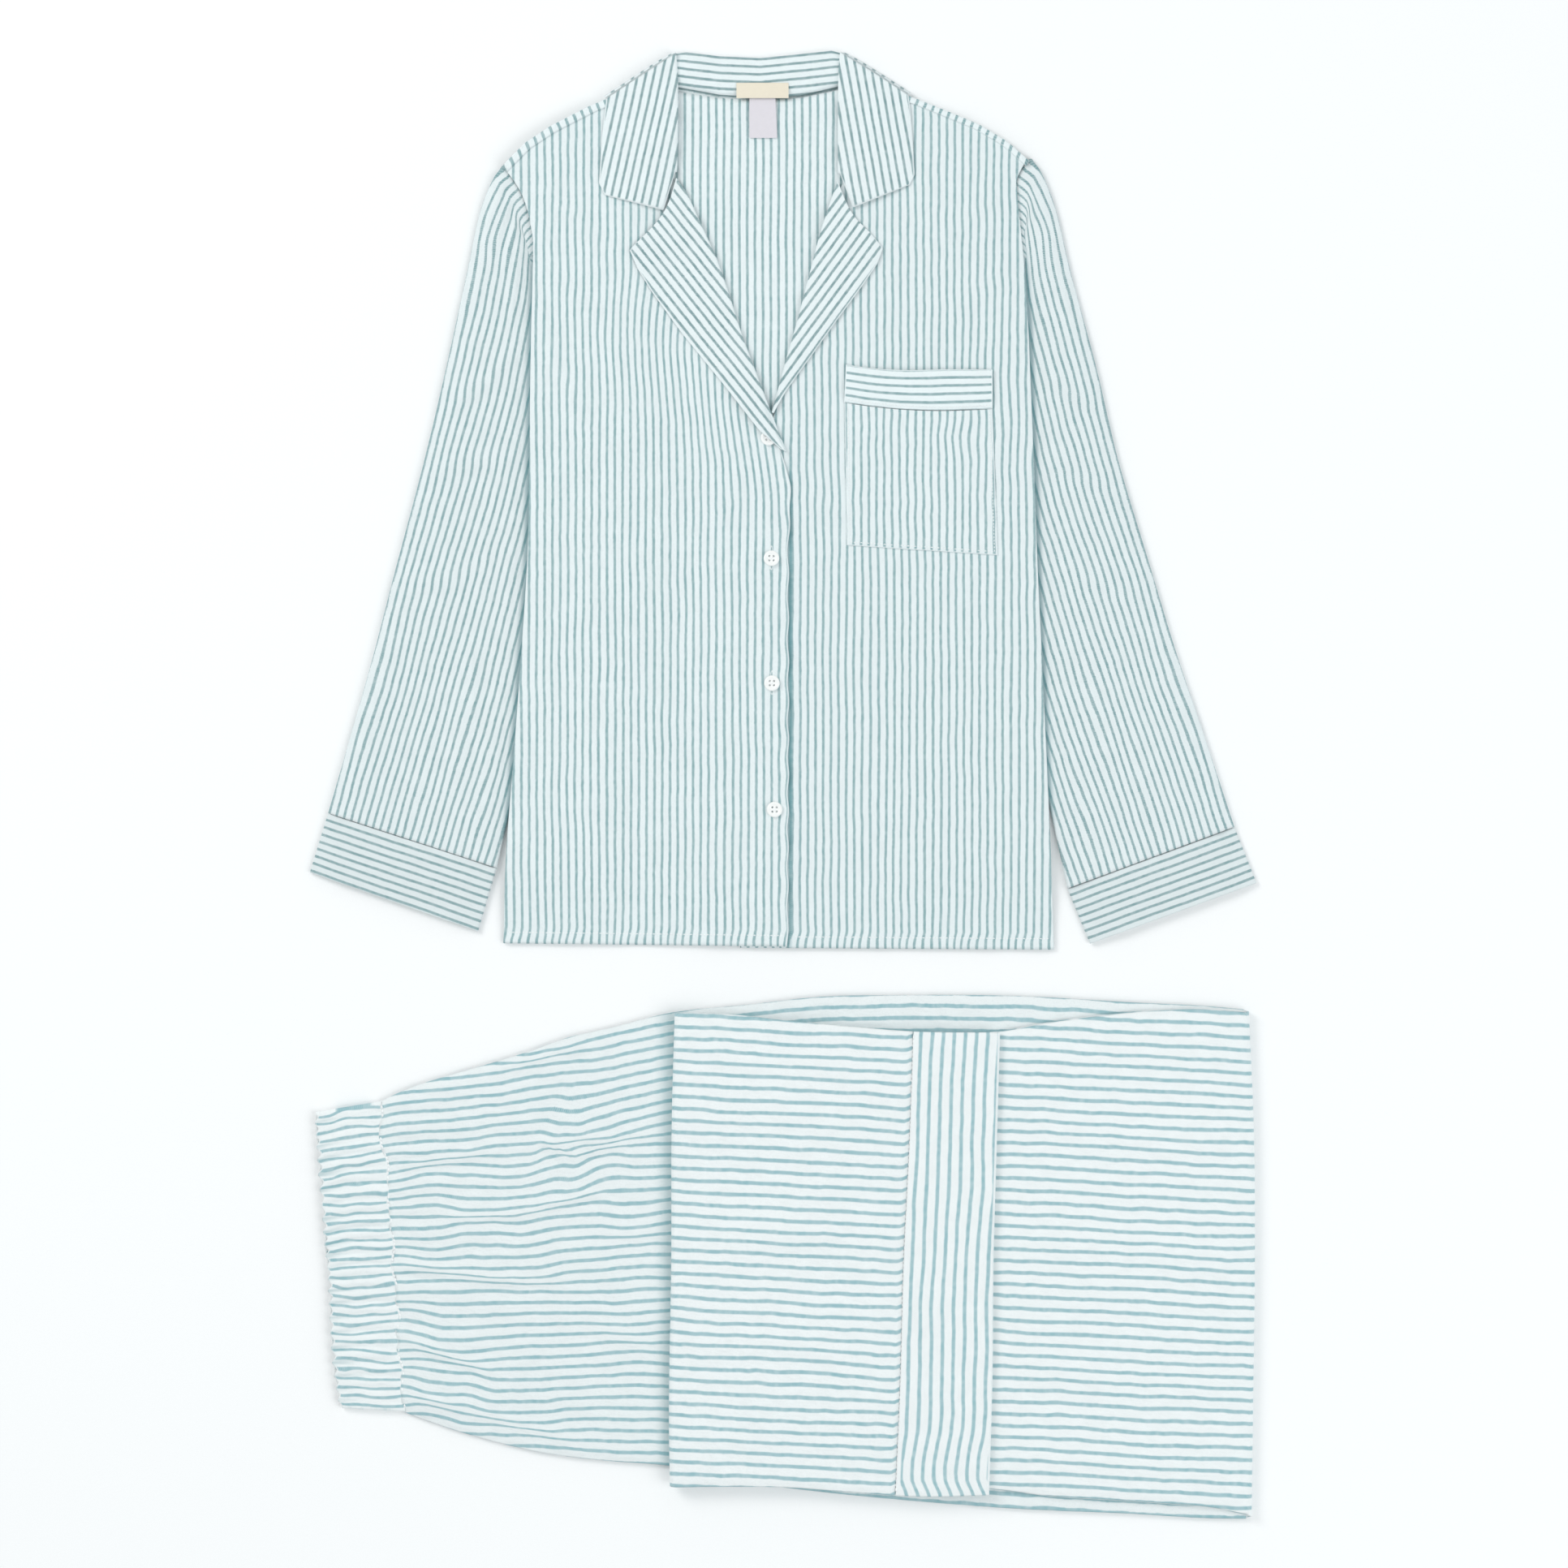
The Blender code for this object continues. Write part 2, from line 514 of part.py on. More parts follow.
def make_lapel(name, spans, height, look, collection):
    """A turned-out facing: it starts under itself at the front's edge, rolls over and lies on the front."""
    roll_turns = [0.0, math.pi / 3, 2 * math.pi / 3, math.pi]
    columns = len(roll_turns) + len(LAPEL_SHARES)

    def place(column, row):
        span = spans[row]
        across = Vector((span.to_x - span.from_x, span.to_y - span.from_y))
        away = across.normalized()
        roll = Vector((span.from_x, span.from_y))
        if column == 0:
            under = min(2.6, across.length * 0.6)
            spot = roll + away * under
            return spot.x, spot.y, height(spot.x, spot.y)
        if column <= len(roll_turns):
            angle = roll_turns[column - 1]
            spot = roll + away * LAPEL_ROLL * (1 - math.sin(angle))
            return spot.x, spot.y, height(spot.x, spot.y) + LAPEL_ROLL * (1 - math.cos(angle))
        share = LAPEL_SHARES[column - len(roll_turns)]
        spot = roll + away * blend(LAPEL_ROLL, across.length, share)
        button_lift = 2.6 * ramp(spot.y, 312.0, 288.0)
        lift = 2 * LAPEL_ROLL + 0.4 * math.sin(math.pi * share)
        return spot.x, spot.y, height(spot.x, spot.y) + lift + button_lift * ramp(share, 0.0, 0.2)

    return sheet(name, columns - 1, len(spans) - 1, place, look, collection)


def make_collar(look, collection):
    """One strip: the stand from the neck seam to the roll, then the fall from the roll to the outer edge."""
    roll_turns = [0.25, 0.5, 0.75]
    stand_columns = len(COLLAR_STAND_SHARES)
    columns = stand_columns + len(roll_turns) + len(COLLAR_FALL_SHARES)

    def place(column, row):
        station = COLLAR[row]
        seam, roll = Vector(station.seam), Vector(station.roll)
        middle, edge = Vector(station.middle), Vector(station.edge)
        middle_x = -19.5
        outward = Vector((-0.55 if roll.x < middle_x else 0.55, 0.83)) * station.outset
        half = abs(station.fall_z - station.stand_z) / 2
        on_front = station.fall_z > station.stand_z
        if column < stand_columns:
            spot = blend(seam, roll, COLLAR_STAND_SHARES[column])
            floor = front_middle(spot.x, spot.y) + LAYER + 0.1 if on_front and not station.outset else 0.0
            return spot.x, spot.y, max(station.stand_z, floor)
        if column < stand_columns + len(roll_turns):
            turn = math.pi * roll_turns[column - stand_columns]
            away = (roll - seam).normalized() * min(half, 1.0) * math.sin(turn)
            z = blend(station.stand_z, station.fall_z, (1 - math.cos(turn)) / 2)
            spot = roll + away + outward * (1 - math.cos(turn)) / 4
            return spot.x, spot.y, z
        share = COLLAR_FALL_SHARES[column - stand_columns - len(roll_turns)]
        spot = blend(roll, middle, share) if share <= 1.0 else blend(middle, edge, share - 1.0)
        spot = spot + outward * min(1.0, 0.5 + share)
        floor = front_middle(spot.x, spot.y) + LAYER + 0.4 if on_front and not station.outset else 0.0
        return spot.x, spot.y, max(station.fall_z, floor)

    return sheet("shirt_collar", columns - 1, len(COLLAR) - 1, place, look, collection)


def make_tube(name, stations, look, collection):
    """A sleeve or cuff lying flat: an upper and a lower leaf joined by a round fold on each side."""
    upper = [0.02, 0.12, 0.25, 0.42, 0.6, 0.8, 0.98]
    turns = [math.pi / 4, math.pi / 2, 3 * math.pi / 4]
    lower = [0.98, 0.6, 0.3, 0.02]
    columns = len(upper) + len(turns) + len(lower) + len(turns)

    def upper_height(station, share):
        puff = SLEEVE_PUFF * math.sin(math.pi * min(1.0, share / 0.55)) ** 2 if share < 0.55 else 0.0
        at_head = ramp(station.head_z, 3.5, 5.7)
        resting = blend(station.head_z, SLEEVE_HIDDEN_LEAF, ramp(share, 0.2, 0.6))
        return blend(resting + puff, station.head_z, at_head)

    def place(column, row):
        station = stations[row]
        outer = Vector((station.outer_x, station.outer_y))
        inner = Vector((station.inner_x, station.inner_y))
        across = inner - outer
        bow = Vector((-across.y, across.x)).normalized() * abs(station.bow)
        if bow.x * station.bow < 0:
            bow = -bow
        column %= columns
        if column < len(upper):
            share = upper[column]
            z = upper_height(station, share)
            past = 0.0
        elif column < len(upper) + len(turns):
            share = 0.98
            angle = turns[column - len(upper)]
            high = upper_height(station, share)
            z = blend(high, SLEEVE_LOWER_LEAF, (1 - math.cos(angle)) / 2)
            past = 1.2 * math.sin(angle)
        elif column < len(upper) + len(turns) + len(lower):
            share = lower[column - len(upper) - len(turns)]
            z = SLEEVE_LOWER_LEAF
            past = 0.0
        else:
            share = 0.02
            angle = turns[column - len(upper) - len(turns) - len(lower)]
            high = upper_height(station, share)
            z = blend(SLEEVE_LOWER_LEAF, high, (1 - math.cos(angle)) / 2)
            past = -1.2 * math.sin(angle)
        peak = station.bow_at
        risen = share / peak if share < peak else (1 - share) / (1 - peak)
        spot = outer + across * share + bow * math.sin(math.pi / 2 * risen) + across.normalized() * past
        return spot.x, spot.y, z

    return sheet(name, columns, len(stations) - 1, place, look, collection, closed=True)


def make_button(name, place, height, look, collection, cutters):
    """A round button with a dished rim and four holes, its holes cut by one set of four pegs."""
    bm = bmesh.new()
    bmesh.ops.create_cone(
        bm, cap_ends=True, segments=20, radius1=BUTTON_RADIUS, radius2=BUTTON_RADIUS, depth=BUTTON_THICKNESS
    )
    bmesh.ops.translate(bm, verts=bm.verts, vec=Vector((place.x, place.y, height + BUTTON_THICKNESS / 2)))
    button = piece(name, bm, collection, look, smooth=False)
    pegs = bmesh.new()
    for side in (-1, 1):
        for end in (-1, 1):
            peg = bmesh.ops.create_cone(
                pegs,
                cap_ends=True,
                segments=6,
                radius1=BUTTON_HOLE_RADIUS,
                radius2=BUTTON_HOLE_RADIUS,
                depth=BUTTON_THICKNESS * 3,
            )
            offset = Vector((side * BUTTON_HOLE_SPREAD, end * BUTTON_HOLE_SPREAD, 0))
            spot = Vector((place.x, place.y, height + BUTTON_THICKNESS / 2)) + offset
            bmesh.ops.translate(pegs, verts=peg["verts"], vec=spot)
    cutter = piece(name + "_holes", pegs, cutters, look, smooth=False)
    cutter.hide_render = True
    cutter.display_type = "WIRE"
    holes = button.modifiers.new("Holes", "BOOLEAN")
    holes.operation = "DIFFERENCE"
    holes.solver = "EXACT"
    holes.object = cutter
    return button


# ---------------------------------------------------------------- trousers


def make_waistband(look, collection):
    """The elastic casing: a loop pressed flat, its upper leaf rippled where the elastic gathers it."""
    leaf = 4 * WAIST_RIPPLES
    turns = [math.pi / 4, math.pi / 2, 3 * math.pi / 4]
    lower = 8
    columns = leaf + 1 + len(turns) + lower + 1 + len(turns)
    lengthways = [0.0, 0.3, 0.7, 1.0]

    def place(column, row):
        column %= columns
        upper_z = FIRST_MIDDLE + LEG_OFFSET
        lower_z = FIRST_MIDDLE - LEG_OFFSET
        past = 0.0
        if column <= leaf:
            share = column / leaf
            ripple = math.sin(2 * math.pi * WAIST_RIPPLES * share + 0.8 * math.sin(7 * share))
            z = upper_z + WAIST_RIPPLE_HEIGHT * ripple * math.sin(math.pi * share) ** 0.5
        elif column <= leaf + len(turns):
            share = 1.0
            angle = turns[column - leaf - 1]
            z = blend(upper_z, lower_z, (1 - math.cos(angle)) / 2)
            past = -1.4 * math.sin(angle)
        elif column <= leaf + len(turns) + lower + 1:
            share = 1.0 - (column - leaf - len(turns) - 1) / lower
            z = lower_z
        else:
            share = 0.0
            angle = turns[column - leaf - len(turns) - lower - 2]
            z = blend(lower_z, upper_z, (1 - math.cos(angle)) / 2)
            past = 1.4 * math.sin(angle)
        along = lengthways[row]
        top = blend(WAIST_OPENING[0].y, WAIST_SEAM[0].y, along) - 1.9
        bottom = blend(WAIST_OPENING[-1].y, WAIST_SEAM[-1].y, along) + 1.9
        y = blend(top, bottom, share)
        x = blend(read(WAIST_OPENING, "y", y, "x"), read(WAIST_SEAM, "y", y, "x") - SEAM_GAP, along)
        return x, y + past, z

    return sheet("trousers_waistband", columns, len(lengthways) - 1, place, look, collection, closed=True)


def folded_path():
    """Stops along the folded legs, as (layer, way, amount): a share of a layer's length, or a turn of a fold."""
    stops = [(0, "flat", share) for share in FIRST_LAYER_SHARES]
    stops += [(0, "fold", math.pi * step / (FOLD_STEPS + 1)) for step in range(1, FOLD_STEPS + 1)]
    stops += [(1, "flat", share) for share in SECOND_LAYER_SHARES]
    stops += [(1, "fold", math.pi * step / (FOLD_STEPS + 1)) for step in range(1, FOLD_STEPS + 1)]
    stops += [(2, "flat", share) for share in THIRD_LAYER_SHARES]
    return stops


def leg_spot(stop, across, offset, hem, hem_cut):
    """x, both edges' y and z of one sheet of the folded legs at a stop, a share across the fold from its upper edge.

    offset is the sheet's distance from the middle of the stack, positive for the left leg.
    """
    layer, way, amount = stop
    tables = (FIRST_LAYER, SECOND_LAYER, THIRD_LAYER)
    reach = LEG_OFFSET + FOLD_PITCH / 2 + CLOTH / 2
    right_centre = read(RIGHT_FOLD, "share", across, "x") - reach
    left_centre = read(LEFT_FOLD, "share", across, "x") + reach
    middle = FIRST_MIDDLE + FOLD_PITCH * layer
    facing = -1.0 if layer == 1 else 1.0
    if way == "flat":
        first_row = blend(WAIST_SEAM[0].y, WAIST_SEAM[-1].y, across)
        starts = (read(WAIST_SEAM, "y", first_row, "x") + SEAM_GAP, right_centre, left_centre)
        ends = (right_centre, left_centre, read(hem, "share", across, "x") - hem_cut)
        x = blend(starts[layer], ends[layer], amount)
        z = middle + facing * offset
        top = read(tables[layer], "x", x, "top")
        bottom = read(tables[layer], "x", x, "bottom")
    else:
        centre, side = (right_centre, 1.0) if layer == 0 else (left_centre, -1.0)
        radius = FOLD_PITCH / 2 - facing * offset
        x = centre + side * radius * math.sin(amount)
        z = middle + FOLD_PITCH / 2 - radius * math.cos(amount)
        share = amount / math.pi
        top = blend(read(tables[layer], "x", x, "top"), read(tables[layer + 1], "x", x, "top"), share)
        bottom = blend(read(tables[layer], "x", x, "bottom"), read(tables[layer + 1], "x", x, "bottom"), share)
    return x, top, bottom, z


def make_leg(name, offset, thickness, hem, hem_cut, edge_inset, look, collection):
    """One sheet that runs through all three layers, from the waistband to hem_cut short of the hem."""
    stops = folded_path()

    def place(column, row):
        across = row / LEG_ROWS
        x, top, bottom, z = leg_spot(stops[column], across, offset, hem, hem_cut)
        y = blend(top - edge_inset, bottom + edge_inset, across)
        return x, y, z

    return sheet(name, len(stops) - 1, LEG_ROWS, place, look, collection, thickness=thickness)


def make_hem_band(look, collection):
    """The left leg's band: it lies on the leg's end and is turned in round the hem."""
    turns = [math.pi / 4, math.pi / 2, 3 * math.pi / 4]
    upper = [0.0, 0.35, 0.7, 1.0]
    columns = len(upper) + len(turns) + 2
    upper_z = FIRST_MIDDLE + 2 * FOLD_PITCH + LEG_OFFSET

    def place(column, row):
        across = row / LEG_ROWS
        start = read(HEM_SEAM, "share", across, "x") + SEAM_GAP
        end = read(HEM_EDGE, "share", across, "x") - HEM_ROLL - CLOTH / 2
        if column < len(upper):
            x, z = blend(start, end, upper[column]), upper_z
        elif column < len(upper) + len(turns):
            angle = turns[column - len(upper)]
            x = end + HEM_ROLL * math.sin(angle)
            z = upper_z - HEM_ROLL * (1 - math.cos(angle))
        else:
            x = end - HEM_TURN * (column - len(upper) - len(turns))
            z = upper_z - 2 * HEM_ROLL
        top = read(THIRD_LAYER, "x", x, "top")
        bottom = read(THIRD_LAYER, "x", x, "bottom")
        return x, blend(top, bottom, across), z

    return sheet("trousers_hem_band", columns - 1, LEG_ROWS, place, look, collection)


# ---------------------------------------------------------------- the set

for leftover in list(bpy.data.objects):
    bpy.data.objects.remove(leftover)

pyjamas = bpy.data.collections.new("pyjama_set")
cutters = bpy.data.collections.new("cutters")
cutters.hide_render = True
bpy.context.scene.collection.children.link(pyjamas)
bpy.context.scene.collection.children.link(cutters)

STRIPED_AQUA = (0.60, 0.74, 0.76)


def cloth(name):
    return material(name, STRIPED_AQUA, 0.92)


make_back(cloth("back_cotton"), pyjamas)
spanned_sheet("shirt_front_left", FRONT_LEFT_SPANS, FRONT_SHARES, front_middle, cloth("left_front_cotton"), pyjamas)
spanned_sheet(
    "shirt_front_right", FRONT_RIGHT_SPANS, FRONT_SHARES, buttoned_front_middle, cloth("right_front_cotton"), pyjamas
)
make_lapel("shirt_facing_left", LAPEL_LEFT_SPANS, front_middle, cloth("left_facing_cotton"), pyjamas)
make_lapel("shirt_facing_right", LAPEL_RIGHT_SPANS, buttoned_front_middle, cloth("right_facing_cotton"), pyjamas)
make_collar(cloth("collar_cotton"), pyjamas)
make_tube("shirt_sleeve_right", SLEEVE_RIGHT, cloth("right_sleeve_cotton"), pyjamas)
make_tube("shirt_sleeve_left", SLEEVE_LEFT, cloth("left_sleeve_cotton"), pyjamas)
make_tube("shirt_cuff_right", CUFF_RIGHT, cloth("right_cuff_cotton"), pyjamas)
make_tube("shirt_cuff_left", CUFF_LEFT, cloth("left_cuff_cotton"), pyjamas)


def on_front(x, y):
    return front_middle(x, y) + LAYER + 0.5


def on_neck(x, y):
    return 2.5 + LAYER


def on_back(x, y):
    return back_middle(x, y) + LAYER


spanned_sheet("shirt_pocket", POCKET_SPANS, POCKET_SHARES, on_front, cloth("pocket_cotton"), pyjamas, sag=POCKET_SAG)
spanned_sheet(
    "shirt_pocket_band", POCKET_BAND_SPANS, POCKET_SHARES, on_front, cloth("pocket_band_cotton"), pyjamas
)
spanned_sheet(
    "shirt_neck_label", NECK_LABEL_SPANS, [0.0, 0.5, 1.0], on_neck, material("cream_tape", (0.92, 0.84, 0.73), 0.7), pyjamas
)
spanned_sheet(
    "shirt_care_label", CARE_LABEL_SPANS, [0.0, 0.5, 1.0], on_back, material("white_tape", (0.85, 0.85, 0.87), 0.6), pyjamas
)

for number, spot in enumerate(BUTTON_PLACES, start=1):
    rest = buttoned_front_middle(spot.x, spot.y) + CLOTH / 2 + SEAM_GAP
    pearl = material(f"button_{number}_resin", (0.95, 0.95, 0.93), 0.35)
    make_button(f"shirt_button_{number}", spot, rest, pearl, pyjamas, cutters)

make_waistband(cloth("waistband_cotton"), pyjamas)
make_leg("trousers_leg_right", -LEG_OFFSET, CLOTH, HEM_EDGE, 1.0, 0.6, cloth("right_leg_cotton"), pyjamas)
make_leg("trousers_folded_layers", 0.0, INNER_LEAVES, HEM_EDGE, 22.0, 1.2, cloth("inner_leaf_cotton"), pyjamas)
make_leg("trousers_leg_left", LEG_OFFSET, CLOTH, HEM_SEAM, 0.0, 0.0, cloth("left_leg_cotton"), pyjamas)
make_hem_band(cloth("hem_band_cotton"), pyjamas)
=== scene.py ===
# %% [markdown]
# # A pyjama set, laid flat
#
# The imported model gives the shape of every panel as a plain, stiff sheet. This lesson makes the cloth itself: a
# crinkled cotton with fine woven stripes, cut into panels, sewn, pressed and laid on a table. The first cell loads
# the model, keeps its box, and sets the names that the rest uses. Lengths in the tables are millimetres.

import math
from collections import namedtuple

import bmesh
import bpy
import numpy as np
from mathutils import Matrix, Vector


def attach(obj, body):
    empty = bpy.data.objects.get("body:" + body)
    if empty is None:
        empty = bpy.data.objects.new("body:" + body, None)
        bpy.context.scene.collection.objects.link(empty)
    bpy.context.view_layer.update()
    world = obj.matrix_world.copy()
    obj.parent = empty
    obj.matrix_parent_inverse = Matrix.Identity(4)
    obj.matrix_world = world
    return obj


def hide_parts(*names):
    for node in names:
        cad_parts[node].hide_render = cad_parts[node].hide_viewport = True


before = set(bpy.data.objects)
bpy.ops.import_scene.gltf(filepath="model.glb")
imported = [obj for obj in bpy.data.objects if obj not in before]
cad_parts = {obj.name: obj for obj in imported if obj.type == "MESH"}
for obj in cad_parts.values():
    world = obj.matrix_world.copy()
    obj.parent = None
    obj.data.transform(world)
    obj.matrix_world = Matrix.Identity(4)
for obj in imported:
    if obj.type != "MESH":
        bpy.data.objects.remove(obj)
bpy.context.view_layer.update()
MILLIMETRE = 0.001
TABLES_MIDDLE = (-0.646, -0.314)  # where the middle of the set lies in the tables

# %% [markdown]
# ## The view and the light
#
# A flat lay is taken from straight above, with a long lens so that the far corners aren't seen from the side.
# The light is a bright even studio: a pale room all round, one broad soft box on the upper left that gives the
# folds their soft side, and a broader, weaker one opposite that keeps the shadows pale. The floor is plain white.

# %% Camera, floor and lights
FIELD = 1.217  # width of what the camera sees on the table, metres
LENS, SENSOR = 120.0, 36.0  # millimetres
camera_data = bpy.data.cameras.new("overhead")
camera_data.lens = LENS
camera_data.sensor_width = SENSOR
camera = bpy.data.objects.new("overhead", camera_data)
camera.location = (0.0006, 0.0003, FIELD * LENS / SENSOR)
bpy.context.scene.collection.objects.link(camera)
bpy.context.scene.camera = camera
bpy.context.scene.view_settings.view_transform = "Standard"

world = bpy.data.worlds.new("studio")
world.use_nodes = True
world.node_tree.nodes["Background"].inputs["Color"].default_value = (0.93, 0.98, 1.0, 1.0)
world.node_tree.nodes["Background"].inputs["Strength"].default_value = 0.66
bpy.context.scene.world = world


def soft_box(name, place, size, power, tint):
    """A square area light that looks at the middle of the table."""
    lamp = bpy.data.lights.new(name, "AREA")
    lamp.shape = "SQUARE"
    lamp.size = size
    lamp.energy = power
    lamp.color = tint
    box = bpy.data.objects.new(name, lamp)
    box.location = place
    box.rotation_euler = (-Vector(place)).to_track_quat("-Z", "Y").to_euler()
    bpy.context.scene.collection.objects.link(box)


soft_box("key_box", (-2.6, 1.9, 2.6), 1.8, 60.0, (1.0, 0.99, 0.975))
soft_box("fill_box", (2.6, -1.2, 2.6), 2.6, 44.0, (0.97, 0.995, 1.0))

bpy.ops.object.select_all(action="DESELECT")
bpy.ops.mesh.primitive_plane_add(size=8.0, location=(0.0, 0.0, -0.0006))
floor = bpy.context.object
floor.name = "table_top"

# %% [markdown]
# ## Writing shaders as sums
#
# A woven stripe is arithmetic on the cloth's own coordinates. The class below wraps a socket of a node tree, so
# that `wave * 0.5 + 0.5` adds the Math nodes, and `node` adds any other node from its type, its settings and the
# values of its inputs.


# %% A small language for shader nodes
class Socket:
    """An output of a node, with Python's operators for arithmetic."""

    def __init__(self, tree, output):
        self.tree = tree
        self.output = output

    def maths(self, operation, *others):
        made = self.tree.nodes.new("ShaderNodeMath")
        made.operation = operation
        for place, value in enumerate((self, *others)):
            if isinstance(value, Socket):
                self.tree.links.new(value.output, made.inputs[place])
            else:
                made.inputs[place].default_value = value
        return Socket(self.tree, made.outputs[0])

    def __add__(self, other):
        return self.maths("ADD", other)

    __radd__ = __add__

    def __mul__(self, other):
        return self.maths("MULTIPLY", other)

    __rmul__ = __mul__

    def __sub__(self, other):
        return self.maths("SUBTRACT", other)

    def __rsub__(self, other):
        return (self * -1.0).maths("ADD", other)

    def __truediv__(self, other):
        return self.maths("DIVIDE", other)


class Finish:
    """One material: its node tree, and ways to add to it."""

    def __init__(self, name):
        self.material = bpy.data.materials.new(name)
        self.material.use_nodes = True
        self.tree = self.material.node_tree
        self.shader = self.tree.nodes["Principled BSDF"]

    def node(self, kind, settings=None, output=0, **inputs):
        """A node with its settings made first, then its inputs, each a value or a Socket."""
        made = self.tree.nodes.new(kind)
        for key, value in (settings or {}).items():
            setattr(made, key, value)
        for key, value in inputs.items():
            socket = made.inputs[int(key[1:])] if key[0] == "i" and key[1:].isdigit() else made.inputs[key]
            if isinstance(value, Socket):
                self.tree.links.new(value.output, socket)
            else:
                socket.default_value = value
        return Socket(self.tree, made.outputs[output])

    def feed(self, name, value):
        if isinstance(value, Socket):
            self.tree.links.new(value.output, self.shader.inputs[name])
        else:
            self.shader.inputs[name].default_value = value

    def noise(self, place, scale, detail=2.0):
        return self.node("ShaderNodeTexNoise", {"noise_dimensions": "3D"}, Vector=place, Scale=scale, Detail=detail)

    def smooth(self, value, low, high):
        """0 at low to 1 at high, with soft ends."""
        settings = {"interpolation_type": "SMOOTHSTEP"}
        return self.node("ShaderNodeMapRange", settings, Value=value, i1=low, i2=high)

    def blend(self, factor, first, second):
        settings = {"data_type": "RGBA"}
        return self.node("ShaderNodeMix", settings, output=2, i0=factor, i6=first, i7=second)


def linear(red, green, blue):
    """A colour as a screen shows it, 0 to 255, made linear for the shader."""
    parts = [value / 255.0 for value in (red, green, blue)]
    parts = [part / 12.92 if part <= 0.04045 else ((part + 0.055) / 1.055) ** 2.4 for part in parts]
    return (*parts, 1.0)


def toned(colour, tone):
    """A colour made lighter or darker, with its alpha kept."""
    return tuple(part * tone for part in colour[:3]) + (1.0,)


# %% [markdown]
# ## The cloth
#
# The cotton is yarn-dyed: groups of aqua threads among off-white ones. Up close each stripe is a column of twill
# dots with ragged sides, and because the cloth is crinkled in the finishing, it never runs quite straight. The
# material reads the piece's own `grain` map, in metres: across the stripes, then along them. The stripe is a
# smooth band, repeated every pitch; three noises push it sideways, the last one ragged; a fourth mottles its depth;
# a stretched noise and the weave make the crinkle in the bump. A second map says how far a finished edge is: there
# the stripes fade to the pale ground, partly because the turned cloth hides them and partly as a painted highlight
# on the rolled edge. Its other half is a painted shade, which mixes the colour towards a deep teal where shadow
# falls beside folds, under overlapping edges and in creases. The shirt's cloth and the trousers' differ only in
# pitch and tone.


# %% The striped crinkled cotton
def striped_cotton(name, pitch, width, stripe, ground, sway, shift):
    """sway is how far the stripes wander, in metres; shift sets where the first one falls, in pitches."""
    finish = Finish(name)
    grain = finish.node("ShaderNodeUVMap", {"uv_map": "grain"})
    split = finish.node("ShaderNodeSeparateXYZ", Vector=grain)
    across, along = split, Socket(finish.tree, split.output.node.outputs[1])

    def stretched(x_scale, y_scale):
        return finish.node("ShaderNodeCombineXYZ", X=across * x_scale, Y=along * y_scale, Z=shift + 0.37)

    drift = finish.noise(stretched(16.0, 15.0), 1.0, 1.0) - 0.5
    waver = finish.noise(stretched(55.0, 75.0), 1.0, 2.0) - 0.5
    ragged = finish.noise(stretched(1100.0, 1000.0), 1.0, 1.0) - 0.5
    place = across + drift * (sway * 3.6) + waver * (sway * 1.9) + ragged * 0.0009
    cycle = (place / pitch + 64.0 + shift).maths("FRACT")
    distance = (cycle - 0.5).maths("ABSOLUTE")
    band = 1.0 - finish.smooth(distance, width * 0.28, width * 0.62)
    twill = ((along * 4300.0 + across * 3000.0).maths("SINE")) * 0.5 + 0.5
    depth = finish.noise(stretched(60.0, 260.0), 1.0, 3.0) * 0.7 + 0.52
    # The second map: near a finished edge the stripes fade to the pale ground, partly the turned cloth hiding them and
    # partly a painted highlight on the rolled edge.
    edge_and_shade = finish.node("ShaderNodeSeparateXYZ", Vector=finish.node("ShaderNodeUVMap", {"uv_map": "edge_and_shade"}))
    painted_shade = Socket(finish.tree, edge_and_shade.output.node.outputs[1])
    mask = band * depth * (twill * 0.34 + 0.74) * finish.smooth(edge_and_shade, 0.0003, 0.0016)
    cloudy = finish.noise(stretched(120.0, 70.0), 1.0, 3.0)
    pale = tuple(min(1.0, part * 1.035) for part in ground[:3]) + (1.0,)
    slub = finish.noise(stretched(1500.0, 1300.0), 1.0, 1.0)
    dusk = toned(ground, 0.93)
    ground_colour = finish.blend(finish.smooth(cloudy, 0.3, 0.7), ground, pale)
    ground_colour = finish.blend(finish.smooth(slub, 0.52, 0.75) * 0.8, ground_colour, dusk)
    colour = finish.blend(mask.maths("MINIMUM", 1.0), ground_colour, stripe)
    # Painted shade: the colour is mixed towards a deep teal wherever the piece's second map says shadow falls.
    colour = finish.blend(painted_shade, colour, PAINTED_SHADE_TEAL)
    finish.feed("Base Color", colour)
    crinkle = finish.noise(stretched(330.0, 120.0), 1.0, 3.0)
    weave = (across * 7200.0).maths("SINE") * (along * 6100.0).maths("SINE")
    height = crinkle * 0.0011 + weave * 0.00003 + band * 0.00006
    bump = finish.node("ShaderNodeBump", Strength=0.7, Distance=1.0, Height=height)
    finish.feed("Normal", bump)
    finish.feed("Roughness", cloudy * 0.12 + 0.82)
    finish.feed("Specular IOR Level", 0.25)
    finish.feed("Sheen Weight", 0.18)
    finish.feed("Sheen Roughness", 0.5)
    finish.feed("Sheen Tint", (0.93, 0.98, 1.0, 1.0))
    return finish.material


SHIRT_PITCH = 0.00605
TROUSER_PITCH = 0.0091
SHIRT_STRIPE = linear(126, 163, 167)
SHIRT_GROUND = linear(234, 242, 243)
TROUSER_STRIPE = linear(137, 182, 190)
TROUSER_GROUND = linear(239, 243, 243)
# A deep teal that stands in for shadow: painted shade, not a colour of the cloth.
PAINTED_SHADE_TEAL = linear(92, 152, 160)


